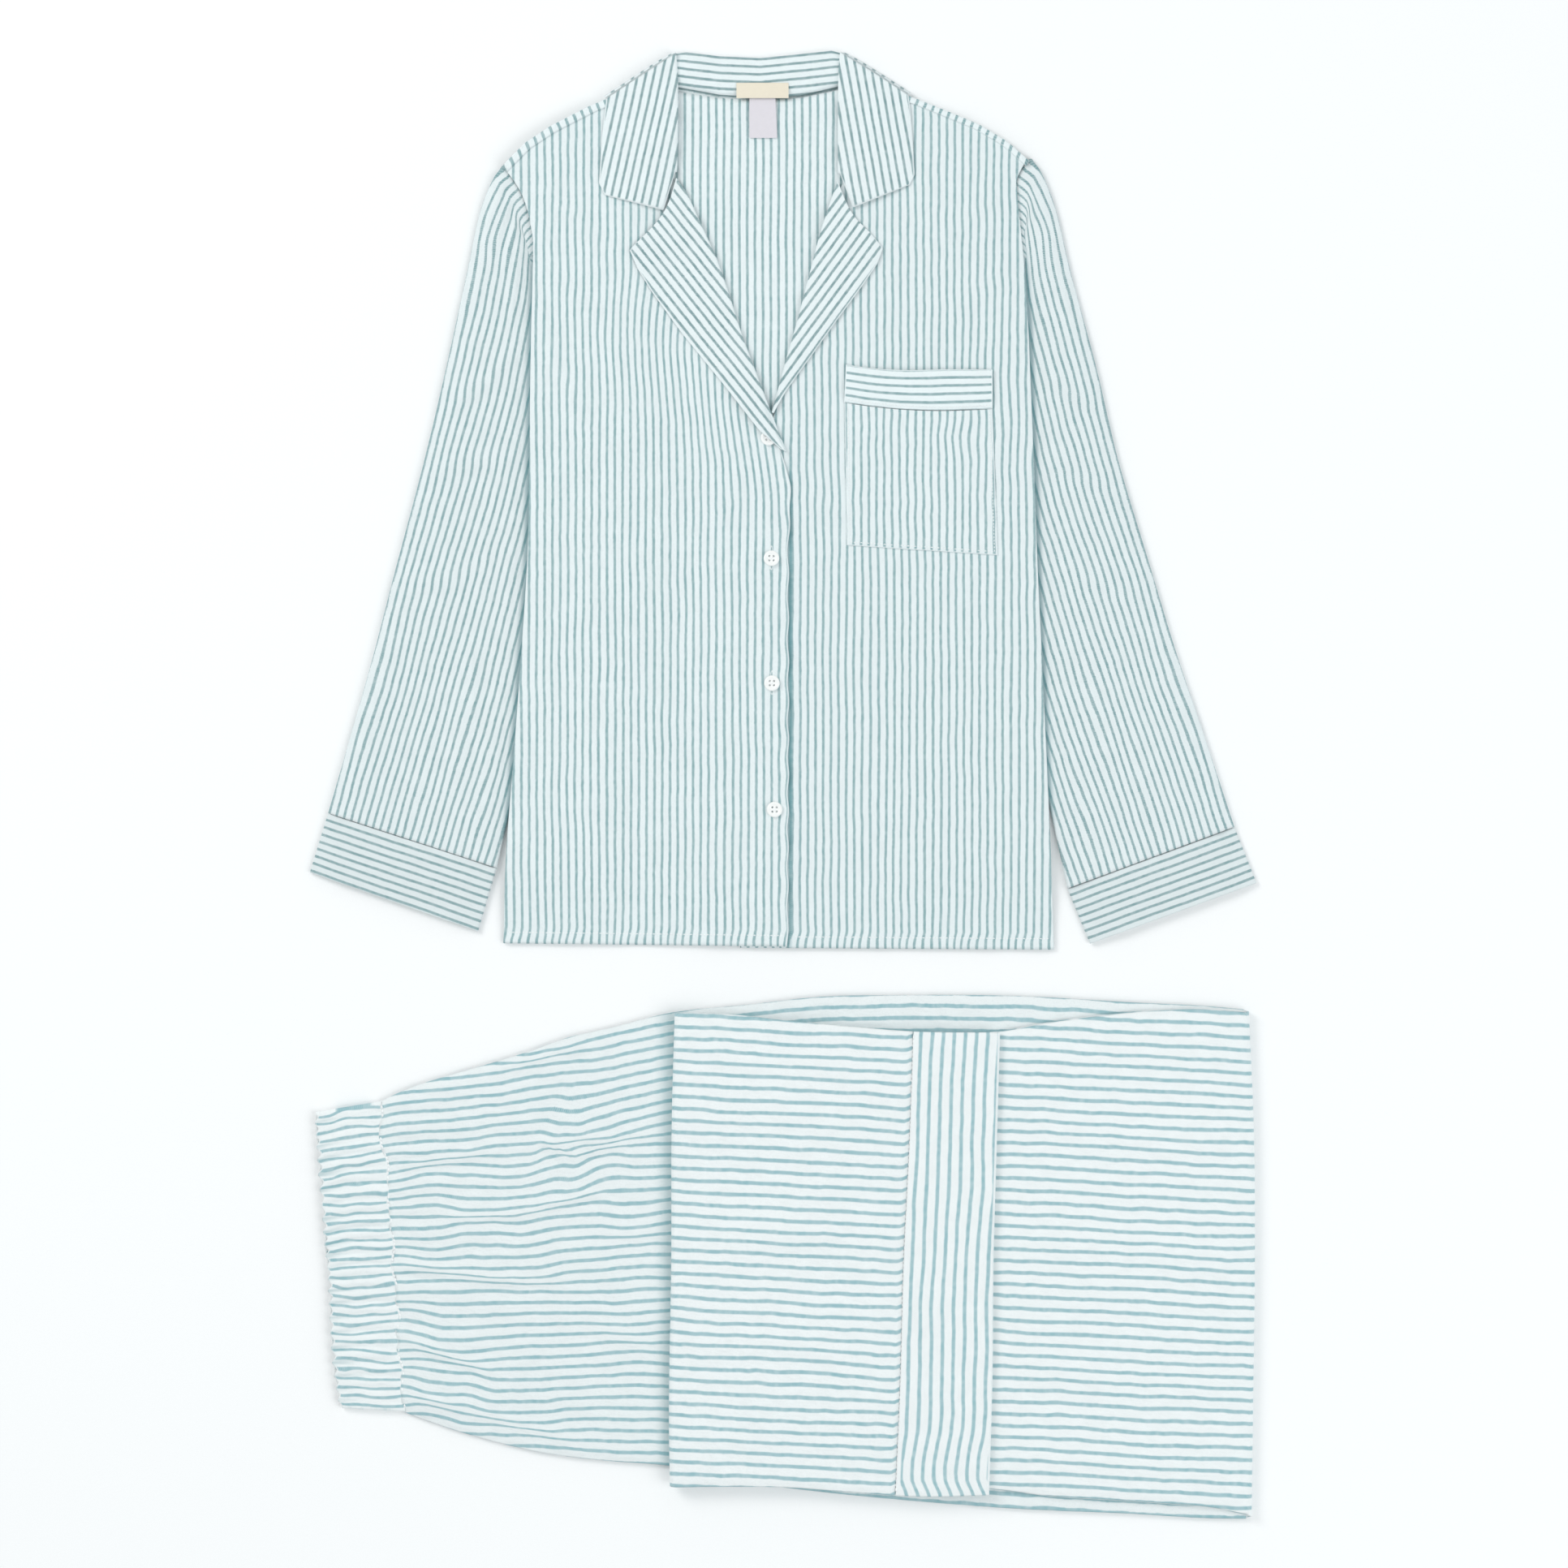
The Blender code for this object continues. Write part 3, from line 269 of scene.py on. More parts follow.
def shirt_cloth(name, shift, sway=0.0007, tone=1.0, ink=1.0):
    """tone lightens or darkens the whole cloth, ink only its stripes."""
    return striped_cotton(
        name, SHIRT_PITCH, 0.37, toned(SHIRT_STRIPE, tone * ink), toned(SHIRT_GROUND, tone), sway, shift
    )


def trouser_cloth(name, shift, sway=0.0012):
    return striped_cotton(name, TROUSER_PITCH, 0.36, TROUSER_STRIPE, TROUSER_GROUND, sway, shift)


def plain_finish(name, colour, roughness, sheen=0.0):
    """Thread, tape or resin: one colour, mottled a little by noise on the object's own coordinates."""
    finish = Finish(name)
    place = finish.node("ShaderNodeTexCoord", output=3)
    cloudy = finish.noise(place, 900.0, 2.0)
    darker = toned(colour, 0.96)
    finish.feed("Base Color", finish.blend(cloudy, colour, darker))
    finish.feed("Roughness", cloudy * 0.1 + roughness)
    finish.feed("Normal", finish.node("ShaderNodeBump", Strength=0.25, Distance=0.0002, Height=cloudy))
    finish.feed("Sheen Weight", sheen)
    return finish.material


table_paper = plain_finish("table_paper", (1.0, 1.0, 1.0, 1.0), 0.9)
floor.data.materials.append(table_paper)

# %% [markdown]
# ## Making a sheet of cloth
#
# A panel starts as a flat grid. Each of its corners is then moved to where that spot of the panel lies, worked out
# from a few measured sections with smooth curves between them, and the same sum gives the spot's place on the
# grain. Solidify gives the sheet its wall. Rows crowd towards the panel's edges, so that an edge can be rounded
# without making the whole panel heavy.


# %% Curves, ramps and folds
WALL = 0.8  # how thick a sheet is
LAYER = 1.3  # how much higher the next sheet lies
LOWEST = 0.5  # height of the middle of a sheet that lies on the table
UNTRIMMED = 9.0  # further from a finished edge than the stripes' fade reaches


def rows_of(kind, *rows):
    """A table: each row's numbers under the names of its kind."""
    return [kind(*row) for row in rows]


def curve(keys, values, at):
    """A smooth curve through a table's values, read at many places."""
    keys, values = np.asarray(keys, float), np.asarray(values, float)
    if keys[0] > keys[-1]:
        keys, values = keys[::-1], values[::-1]
    slopes = np.gradient(values, keys)
    at = np.clip(at, keys[0], keys[-1])
    low = np.clip(np.searchsorted(keys, at, side="right") - 1, 0, len(keys) - 2)
    step = keys[low + 1] - keys[low]
    t = (at - keys[low]) / step
    return (
        values[low] * (2 * t**3 - 3 * t**2 + 1)
        + slopes[low] * step * (t**3 - 2 * t**2 + t)
        + values[low + 1] * (3 * t**2 - 2 * t**3)
        + slopes[low + 1] * step * (t**3 - t**2)
    )


def ramp(value, low, high):
    """0 at low, 1 at high with soft ends, whichever is larger."""
    share = np.clip((value - low) / (high - low), 0.0, 1.0)
    return share * share * (3 - 2 * share)


def swell(x, y, size_x, size_y, seed):
    """Soft random hills between 0 and 1, one every size_x by size_y millimetres."""
    table = np.random.default_rng(seed).random((64, 64))
    gx, gy = np.asarray(x) / size_x + 900.0, np.asarray(y) / size_y + 900.0
    ix, iy = np.floor(gx).astype(int), np.floor(gy).astype(int)
    tx, ty = gx - ix, gy - iy
    tx, ty = tx * tx * (3 - 2 * tx), ty * ty * (3 - 2 * ty)
    low = table[ix % 64, iy % 64] * (1 - tx) + table[(ix + 1) % 64, iy % 64] * tx
    high = table[ix % 64, (iy + 1) % 64] * (1 - tx) + table[(ix + 1) % 64, (iy + 1) % 64] * tx
    return low * (1 - ty) + high * ty


Crease = namedtuple("Crease", "from_x from_y to_x to_y width height bow", defaults=(0.0,))


def beside(fold, x, y):
    """Where points lie by a crease: their share of the way along it, and how far to its side."""
    dx, dy = fold.to_x - fold.from_x, fold.to_y - fold.from_y
    length = math.hypot(dx, dy)
    along = ((x - fold.from_x) * dx + (y - fold.from_y) * dy) / length**2
    off = ((y - fold.from_y) * dx - (x - fold.from_x) * dy) / length
    return along, off - fold.bow * 4 * along * (1 - along)


def creased(creases, x, y):
    """The height that a list of creases adds: each is a soft ridge, or a trough, that fades at both its ends."""
    height = np.zeros_like(np.asarray(x, float))
    for fold in creases:
        along, off = beside(fold, x, y)
        fade = ramp(along, -0.12, 0.2) * ramp(along, 1.12, 0.8)
        height = height + fold.height * fade * np.exp(-((off / fold.width) ** 2))
    return height


def tucked(creases, x, y, gain):
    """How far creases draw the stripes together: a fold swallows cloth, so the grain runs faster across it."""
    shift = np.zeros_like(np.asarray(x, float))
    for fold in creases:
        along, off = beside(fold, x, y)
        fade = ramp(along, -0.1, 0.35) * ramp(along, 1.1, 0.65)
        shift = shift + gain * fold.height * fade * np.tanh(off / (0.7 * fold.width)) * np.exp(-((off / 40.0) ** 2))
    return shift


def row_keys(rows):
    """How far along a table each of its rows lies, from the middles between the rows' two ends."""
    middles = [((row[0] + row[2]) / 2, (row[1] + row[3]) / 2) for row in rows]
    return np.concatenate([[0.0], np.cumsum([math.dist(a, b) for a, b in zip(middles, middles[1:])])])


def crowded(count, edge=(0.0, 0.004, 0.010, 0.020)):
    """Shares from 0 to 1 with a few extra steps near each end."""
    inner = np.linspace(edge[-1] * 1.6, 1 - edge[-1] * 1.6, count - 2 * len(edge) + 1)
    return np.concatenate([edge, inner, 1 - np.array(edge[::-1])])


# %% Laying a sheet
def lay(name, columns, rows, place, closed=False, left_out=None, wall=WALL):
    """A grid of cloth. place takes the shares of every corner and gives x, y, z, its two grain coordinates, how
    far it is from a finished edge and, where it is given, a painted shade that stands in for shadow."""
    bpy.ops.object.select_all(action="DESELECT")
    wide, high = len(columns) - 1, len(rows) - 1
    bpy.ops.mesh.primitive_grid_add(x_subdivisions=wide, y_subdivisions=high, size=2.0)
    piece = bpy.context.object
    piece.name = name
    piece.data.name = name
    mesh = piece.data
    flat = np.empty(len(mesh.vertices) * 3)
    mesh.vertices.foreach_get("co", flat)
    flat = flat.reshape(-1, 3)
    column = np.rint((flat[:, 0] + 1) / 2 * wide).astype(int)
    row = np.rint((flat[:, 1] + 1) / 2 * high).astype(int)
    x, y, z, across, along, edge, *more = place(np.asarray(columns)[column], np.asarray(rows)[row])
    painted_shade = more[0] if more else 0.0
    points = np.stack([x - TABLES_MIDDLE[0], y - TABLES_MIDDLE[1], z], axis=1) * MILLIMETRE
    mesh.vertices.foreach_set("co", points.ravel())
    corners = np.empty(len(mesh.loops), int)
    mesh.loops.foreach_get("vertex_index", corners)
    for layer in list(mesh.uv_layers):
        mesh.uv_layers.remove(layer)
    grain = mesh.uv_layers.new(name="grain")
    spots = np.stack([across, along], axis=1)[corners] * MILLIMETRE
    grain.data.foreach_set("uv", spots.ravel())
    # The second map holds the distance to a finished edge, whose stripe fade is partly a painted highlight, and the
    # painted shade.
    edge_and_shade = mesh.uv_layers.new(name="edge_and_shade")
    spots = np.stack([edge * MILLIMETRE + 0 * x, painted_shade + 0 * x], axis=1)[corners]
    edge_and_shade.data.foreach_set("uv", spots.ravel())
    if left_out is not None or closed:
        bm = bmesh.new()
        bm.from_mesh(mesh)
        if left_out is not None:
            bm.verts.ensure_lookup_table()
            gone = left_out(np.asarray(columns)[column], np.asarray(rows)[row])
            bmesh.ops.delete(bm, geom=[bm.verts[i] for i in np.nonzero(gone)[0]], context="VERTS")
        if closed:
            bmesh.ops.remove_doubles(bm, verts=bm.verts, dist=1e-6)
        bm.to_mesh(mesh)
        bm.free()
    mesh.update()
    solid = piece.modifiers.new("Wall", "SOLIDIFY")
    solid.thickness = wall * MILLIMETRE
    solid.offset = 0.0
    solid.use_even_offset = False
    bpy.ops.object.modifier_apply(modifier=solid.name)
    mesh.polygons.foreach_set("use_smooth", [True] * len(mesh.polygons))
    return piece


def finish_piece(piece, material, nodes):
    """Gives a piece its material, attaches it to the root body, hides the plain nodes that it stands for and prints its
    size.
    """
    piece.data.materials.clear()
    piece.data.materials.append(material)
    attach(piece, "root")
    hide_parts(*nodes)
    count = sum(len(face.vertices) - 2 for face in piece.data.polygons)
    size = [round(side * 1000, 1) for side in piece.dimensions]
    print(f"{piece.name}: {size} mm, {count} triangles")


# %% [markdown]
# ## How the shirt lies
#
# The back lies on the table, and the sleeves lie beside it with their inner parts tucked under, so the body rides
# up over them at its sides. The fronts lie on the back, the buttoned one on the other. A fine relief is
# shared by all that lies on the fronts (lapels, collar, pocket), because layers of cloth wrinkle together.

# %% The outline of the body, and its heights
Edge = namedtuple("Edge", "x y")
RIGHT_SIDE = rows_of(
    Edge,
    (-217.7, -123.5), (-215.8, -61.1), (-209.5, 22.1), (-203.8, 100.2), (-199.4, 162.5), (-197.5, 249.5),
    (-196.2, 340.2), (-194.4, 410.8), (-195, 425.2), (-199.4, 446), (-207.6, 464.3), (-218.3, 476.9),
)
LEFT_SIDE = rows_of(
    Edge,
    (209.5, -128.5), (206.3, -41.6), (201.9, 54.8), (196.9, 158.8), (193.1, 263.3), (188.1, 376.1), (185.5, 409.5),
    (181.8, 444.8), (180.5, 463.7), (183, 476.3), (190.6, 483),
)


def side(table, y):
    return curve([edge.y for edge in table], [edge.x for edge in table], y)


def inset(x, y):
    """How far a point lies inside the nearer side seam or armhole."""
    return np.minimum(x - side(RIGHT_SIDE, y), side(LEFT_SIDE, y) - x)


FRONT_CREASES = rows_of(
    Crease,
    (-188, 402, -120, 330, 9, 1.8, 4), (-192, 380, -140, 262, 7, 1.3, -6), (-176, 452, -120, 404, 8, 1.4),
    (178, 402, 128, 352, 9, 1.5, -4), (184, 372, 160, 240, 7, 1.2, 4), (172, 452, 112, 420, 8, 1.2),
    (-150, 160, -138, -60, 12, 1.4, 6), (-92, 240, -100, 20, 12, 1.2, -4), (-46, 120, -52, -110, 9, 1.2, 3),
    (58, 160, 66, -70, 12, 1.3, 5), (120, 120, 112, -110, 11, 1.4, -5), (168, 150, 178, -60, 9, 1.2, 4),
    (-30, 250, -52, 205, 6, 1), (-26, 262, -70, 262, 5, 0.9, 4), (20, 240, 44, 200, 7, 0.9),
    (150, 285, 168, 240, 4.5, 1, 3), (-12, 225, -14, 130, 5, 0.8, 3), (-12, 128, -13, 30, 5, 0.8, -3),
)


def relief(x, y):
    """How far the fronts' cloth stands off what it lies on: broad swells, small dimples and the creases."""
    soft = 1.5 * swell(x, y, 38, 150, 3) + 0.8 * swell(x, y, 19, 60, 5) + 0.35 * swell(x, y, 8, 14, 7)
    return np.maximum(0.0, soft - 0.4 + creased(FRONT_CREASES, x, y))


def back_height(x, y):
    over_sleeve = 3.9 * ramp(inset(x, y), 80, 50) * ramp(y, -95, -40)
    over_collar = 1.4 * ramp(y, 434, 458)
    return np.maximum(over_sleeve, over_collar) + LOWEST


def front_height(x, y):
    over_sleeve = 3.9 * ramp(inset(x, y), 120, 62) * ramp(y, -122, -60)
    over_collar = 1.4 * ramp(y, 405, 440)
    seam_drop = 0.8 * ramp(inset(x, y), 5, 0)
    return np.maximum(over_sleeve, over_collar) + LOWEST + LAYER + relief(x, y) - seam_drop


def buttoned_height(x, y):
    return front_height(x, y) + 1.5 * ramp(x, -78, -46) * ramp(y, 345, 300)


# %% [markdown]
# ## The back and its yoke
#
# On the real shirt the back is one panel with the grain running down. What shows is its inside at the neckline,
# and a narrow strip at each shoulder: the shoulder seam sits forward of the fold, so the back comes over to the
# front there. The grid has rows up the body, rows that narrow to the shoulders, then a tight turn over the fold.

# %% Back
BackColumn = namedtuple("BackColumn", "share top_x top_y")
BACK_COLUMNS = rows_of(
    BackColumn,
    (0.00, -217.6, 478.4), (0.06, -200, 496.2), (0.125, -180.5, 509), (0.20, -150, 524.8), (0.27, -128, 533.8),
    (0.34, -108, 546), (0.41, -83, 537), (0.46, -50, 532), (0.50, -19, 530.5), (0.54, 12, 532), (0.59, 44, 538.5),
    (0.66, 68, 546.5), (0.73, 88, 535.8), (0.80, 112, 526.4), (0.875, 150, 510.5), (0.94, 172, 497.5),
    (1.00, 189.6, 482),
)
BACK_INSET = 1.2
BODY_HEM = -123.5
NECK_MIDDLE = -19.0
YOKE_BASE = 398.0  # where the rows of the body end and those of the shoulders start
SHOULDER_WRAP = 5.2  # how far the back comes over the shoulder
NECK_SHARES = (0.342, 0.658)  # between these columns the back ends at the neck


def back_place(u, v):
    """Rows 0 to 1 go up the body, 1 to 2 up the yoke, 2 to 3 over the shoulder fold and 3 to 4 down its front."""
    shares = [spot.share for spot in BACK_COLUMNS]
    top_x = np.interp(u, shares, [spot.top_x for spot in BACK_COLUMNS])
    top_y = np.interp(u, shares, [spot.top_y for spot in BACK_COLUMNS])
    body = np.clip(v, 0, 1)
    yoke = np.clip(v - 1, 0, 1)
    turn = np.clip(v - 2, 0, 1) * math.pi
    strip = np.clip(v - 3, 0, 1)
    wrap = np.where(top_x < NECK_MIDDLE, SHOULDER_WRAP, 0.75 * SHOULDER_WRAP)

    def base(y):
        right, left = side(RIGHT_SIDE, y) + BACK_INSET, side(LEFT_SIDE, y) - BACK_INSET
        return right + (left - right) * u

    low_y = BODY_HEM + (YOKE_BASE - BODY_HEM) * body
    x = base(low_y)
    x = x + (top_x - x) * yoke
    y = low_y + (top_y - low_y) * yoke
    ends = []
    for table, spot, sign in ((RIGHT_SIDE, BACK_COLUMNS[0], 1), (LEFT_SIDE, BACK_COLUMNS[-1], -1)):
        edge_y = YOKE_BASE + (spot.top_y - YOKE_BASE) * yoke
        start = side(table, YOKE_BASE) + sign * BACK_INSET
        ends.append(side(table, edge_y) + sign * BACK_INSET - (start + (spot.top_x - start) * yoke))
    x = x + np.where(yoke < 1, (1 - u) * ends[0] + u * ends[1], 0.0)
    inward_x = np.where(top_x < NECK_MIDDLE, 0.53, -0.53)
    out = -0.7 * np.sin(turn) + wrap * strip
    over = ramp(v, 2.0, 2.02)
    low, high = back_height(x, y), front_height(x, y)
    x, y = x + inward_x * out, y - 0.85 * out
    z = low + (high - low) * (1 - np.cos(turn)) / 2
    z = z + 0.9 * (1 - np.cos(turn)) / 2
    z = np.where(v > 3, front_height(x, y) + 0.9 - 0.3 * ramp(v, 3.7, 4.0), z)
    neck = (u > NECK_SHARES[0]) & (u < NECK_SHARES[1])
    z = z + np.where(neck, 0.9, 0.0) * swell(x, y, 40, 30, 11) * ramp(y, 425, 470) * (1 - over)
    lean = np.sign(inward_x) * 0.36 * (wrap - out) + np.where(top_x < NECK_MIDDLE, -0.30, 2.54)
    across = x + (lean - tucked(FRONT_CREASES, x, y, 0.5)) * over
    along = y + 2 * 0.85 * out * over
    return x, y, z, across, along, np.where((v > 3) & (top_x > NECK_MIDDLE), (1 - strip) * 8.0 + 0.5, UNTRIMMED)


def back_left_out(u, v):
    return (v > 2.001) & (u > NECK_SHARES[0]) & (u < NECK_SHARES[1])


back_columns = np.unique(np.concatenate([np.linspace(0, 1, 97), NECK_SHARES]))
back_rows = np.concatenate(
    [np.linspace(0, 1, 70), 1 + np.linspace(0, 1, 36)[1:], 2 + np.linspace(0, 1, 7)[1:], 3 + np.linspace(0, 1, 5)[1:]]
)
back = lay("back_panel", back_columns, back_rows, back_place, left_out=back_left_out)
finish_piece(back, shirt_cloth("back_cloth", 0.2, 0.0004), ["shirt_back"])

# %% [markdown]
# ## The fronts
#
# Each front is cut with its edge on the grain, so that a stripe runs down beside the buttons. The wearer's right
# front carries the buttonholes and lies on top. Its free edge isn't dead straight: the buttons pull at it.

# %% Fronts
Span = namedtuple("Span", "from_x from_y to_x to_y")
FRONT_RIGHT_SPANS = rows_of(
    Span,
    (-217.7, -123.5, 2.8, -126), (-215.8, -61.1, 3.1, -62), (-209.5, 22.1, 3.4, 22), (-203.8, 100.2, 3.4, 100),
    (-198.8, 180, 3.2, 180), (-197.5, 245, 3, 240), (-197.3, 262, -1.6, 255.5), (-196.7, 310, -19.6, 301.7),
    (-196, 350, -35.9, 345.2), (-194.8, 395, -53, 399.3), (-194.5, 410.8, -70, 436.5), (-195, 425.2, -85.5, 467),
    (-199.4, 446, -104.8, 480), (-207.2, 462.5, -106, 512), (-216.4, 474.4, -103.4, 538),
)
FRONT_LEFT_SPANS = rows_of(
    Span,
    (209.5, -128.5, -34, -127), (206.8, -55, -34, -60), (203.4, 22, -34, 22), (199.8, 100, -34, 100),
    (196.2, 175, -34, 175), (194.6, 222, -33, 215), (193.3, 258, -22, 252), (191.5, 300, -5.6, 292),
    (188.6, 365, 14.6, 359.5), (185.5, 409.5, 28.4, 413.5), (183.6, 428, 38.4, 447), (181.8, 444.8, 47, 467),
    (180.6, 458, 65, 480), (180.6, 466, 66, 512), (186.6, 477.6, 63.8, 538),
)


def spanned(spans, u, v):
    """The plan position on a table of spans: v goes from its first row to its last, u along each row."""
    keys = row_keys(spans)
    keys = keys / keys[-1]
    ends = [curve(keys, [span[i] for span in spans], v) for i in range(4)]
    return ends[0] + (ends[2] - ends[0]) * u, ends[1] + (ends[3] - ends[1]) * u


def to_shoulder(spans, u, y, v):
    """Carries the top of a front up under the strip, since the shoulder is a curve and the spans are straight."""
    top_x, top_y = spanned(spans, u, np.ones_like(u))
    fold_x = [spot.top_x for spot in BACK_COLUMNS]
    fold_y = np.interp(top_x, fold_x, [spot.top_y for spot in BACK_COLUMNS])
    return y + np.maximum(0.0, fold_y - 3.0 - top_y) * ramp(v, 0.9, 1.0)


def front_right_place(u, v):
    x, y = spanned(FRONT_RIGHT_SPANS, u, v)
    y = to_shoulder(FRONT_RIGHT_SPANS, u, y, v)
    at_edge = ramp(u, 0.94, 1.0) * ramp(y, 250, 235)
    z = buttoned_height(x, y) + at_edge * (0.5 + 0.5 * np.sin(y * 2 * math.pi / 47 + 0.6))
    z = z - 0.7 * ramp(y, -121, -126)
    grain_x = x + 0.9 * ramp(y, -112, -124) * np.sin(x / 7.0) - tucked(FRONT_CREASES, x, y, 0.5)
    grain_x = grain_x + 1.5 * ramp(y, -114, -121)
    from_lapel = ((x + 1.8) * 0.782 + (y - 259.2) * 0.623)
    grain_x = grain_x + 8.0 * ramp(y, 205, 300) * ramp(y, 400, 330) * np.exp(-((from_lapel / 42.0) ** 2))
    x = x + at_edge * 0.6 * np.sin(y * 2 * math.pi / 31 + 1.2 * np.sin(y / 50))
    return x, y, z, grain_x, y, (1 - u) * 200.0


def front_left_place(u, v):
    x, y = spanned(FRONT_LEFT_SPANS, u, v)
    y = to_shoulder(FRONT_LEFT_SPANS, u, y, v)
    z = front_height(x, y) - 0.7 * ramp(y, -123, -128)
    grain_x = x + 0.9 * ramp(y, -114, -126) * np.sin(x / 7.0) - tucked(FRONT_CREASES, x, y, 0.5)
    grain_x = grain_x + 1.5 * ramp(y, -116, -123)
    past_edge = x - 5.0  # how far beyond the other front's free edge
    # Beside the other front's edge the grain is held nearly still, so one real stripe widens into a solid teal band,
    # and painted shade darkens it further, less towards the hem: together they stand in for that edge's shadow.
    grain_x = grain_x - 1.1 * np.tanh(past_edge / 1.8) * ramp(y, 250, 225)
    painted_shade = 0.62 * ramp(np.abs(past_edge + 0.6), 2.6, 0.6) * ramp(y, 262, 225) * (1 - 0.5 * ramp(y, -30, -60))
    return x, y, z, grain_x, y, UNTRIMMED, painted_shade


front_right = lay("front_panel_right", crowded(72), crowded(190), front_right_place)
right_front_cloth = shirt_cloth("right_front_cloth", 0.15, tone=0.98, ink=1.07)
finish_piece(front_right, right_front_cloth, ["shirt_front_right"])
edge_columns = np.linspace(0.815, 0.862, 16)  # finer beside the other front's edge
front_left = lay(
    "front_panel_left", np.unique(np.concatenate([crowded(76), edge_columns])), crowded(190), front_left_place
)
left_front_cloth = shirt_cloth("left_front_cloth", 0.62, tone=0.97, ink=1.07)
finish_piece(front_left, left_front_cloth, ["shirt_front_left"])

# %% [markdown]
# ## The lapels
#
# The facing is sewn to the front's edge and turned out, so what shows is its right side, mirrored about the roll.
# Its stripes run along its outer edge. The roll stands a little proud, since nobody presses a lapel hard.

# %% Lapels
LAPEL_RIGHT_SPANS = rows_of(
    Span,
    (1.6, 257.5, -1.8, 259.2), (-5.5, 275.5, -19.2, 274.1), (-16.1, 303, -46.3, 309.3), (-32.4, 346.5, -79.7, 350.3),
    (-44, 383, -101.5, 380), (-52.5, 407.5, -113, 398.5), (-66.5, 437.9, -119.6, 413.5), (-76, 459, -105.5, 427.5),
    (-83.6, 469.6, -92.4, 438.8),
)
LAPEL_LEFT_SPANS = rows_of(
    Span,
    (-9.6, 288, -8.4, 287.6), (-5, 303.5, 0.6, 303.8), (2.5, 331.5, 20, 330.5), (11, 360.4, 41.3, 360.4),
    (18, 387.5, 60, 385.5), (24.9, 414.5, 72, 403), (30, 432.5, 76.6, 415.2), (36, 451, 65.8, 428),
    (41.8, 466.6, 52.4, 439.4),
)
LAPEL_ROLL = 1.0
LAPEL_FACES = np.concatenate([[-1.0], np.linspace(0, 1, 7), 1 + crowded(22)[1:]])


def lapel_place(spans, height, edge_way):
    """Columns: -1 is tucked under, 0 to 1 turn over the roll line, 1 to 2 lie out to the edge."""
    way = Vector(edge_way).normalized()

    def straight(v, item):
        keys = row_keys(spans)
        return np.interp(v, keys / keys[-1], [span[item] for span in spans])

    def place(u, v):
        roll_x, roll_y, edge_x, edge_y = (straight(v, item) for item in range(4))
        length = np.hypot(edge_x - roll_x, edge_y - roll_y)
        away_x, away_y = (edge_x - roll_x) / length, (edge_y - roll_y) / length
        turn = np.clip(u, 0, 1) * math.pi
        share = np.clip(u - 1, 0, 1)
        roll = LAPEL_ROLL * (0.35 + 0.65 * ramp(length, 1, 14))
        out = np.where(u <= 1, roll * (1 - np.sin(turn)), roll + (length - roll) * share)
        out = np.where(u < 0, np.minimum(2.6, length * 0.6), out)
        x, y = roll_x + away_x * out, roll_y + away_y * out
        low = height(x, y)
        belly = 1.1 * np.sin(math.pi * share) ** 0.7 * ramp(length, 8, 30)
        soft = 0.5 * swell(x, y, 22, 30, 21) * ramp(share, 0, 0.2)
        button_lift = 2.6 * ramp(y, 312, 288) * ramp(share, 0.0, 0.2)
        top = low + 2 * roll + belly + soft + button_lift
        z = np.where(u <= 1, low + roll * (1 - np.cos(turn)), top)
        z = np.where(u < 0, low, z) - 0.35 * ramp(share, 0.94, 1.0)
        across = x * way.y - y * way.x
        along = x * way.x + y * way.y
        edge = np.where(u > 1, (1 - share) * length, UNTRIMMED)
        return x, y, z, across, along, np.minimum(edge, np.where(v > 0.8, (1 - v) * 180, UNTRIMMED))

    return place


lapel_right = lay(
    "lapel_right", LAPEL_FACES, crowded(90), lapel_place(LAPEL_RIGHT_SPANS, buttoned_height, (-111.2, 139.3))
)
right_lapel_cloth = shirt_cloth("right_lapel_cloth", 0.1, 0.0003, ink=0.8)
finish_piece(lapel_right, right_lapel_cloth, ["shirt_facing_right"])
lapel_left = lay("lapel_left", LAPEL_FACES, crowded(76), lapel_place(LAPEL_LEFT_SPANS, front_height, (73.0, 99.2)))
left_lapel_cloth = shirt_cloth("left_lapel_cloth", 0.4, 0.0003, ink=0.8)
finish_piece(lapel_left, left_lapel_cloth, ["shirt_facing_left"])

# %% [markdown]
# ## The collar
#
# One strip goes round the neck: the stand rises from the neck seam to the roll, and the fall comes down outside
# it. On the chest the fall lies on the fronts and hides the stand. Behind, the fall is folded away under the back
# and the stand shows, standing up in a soft hump. The stripes run along the strip.

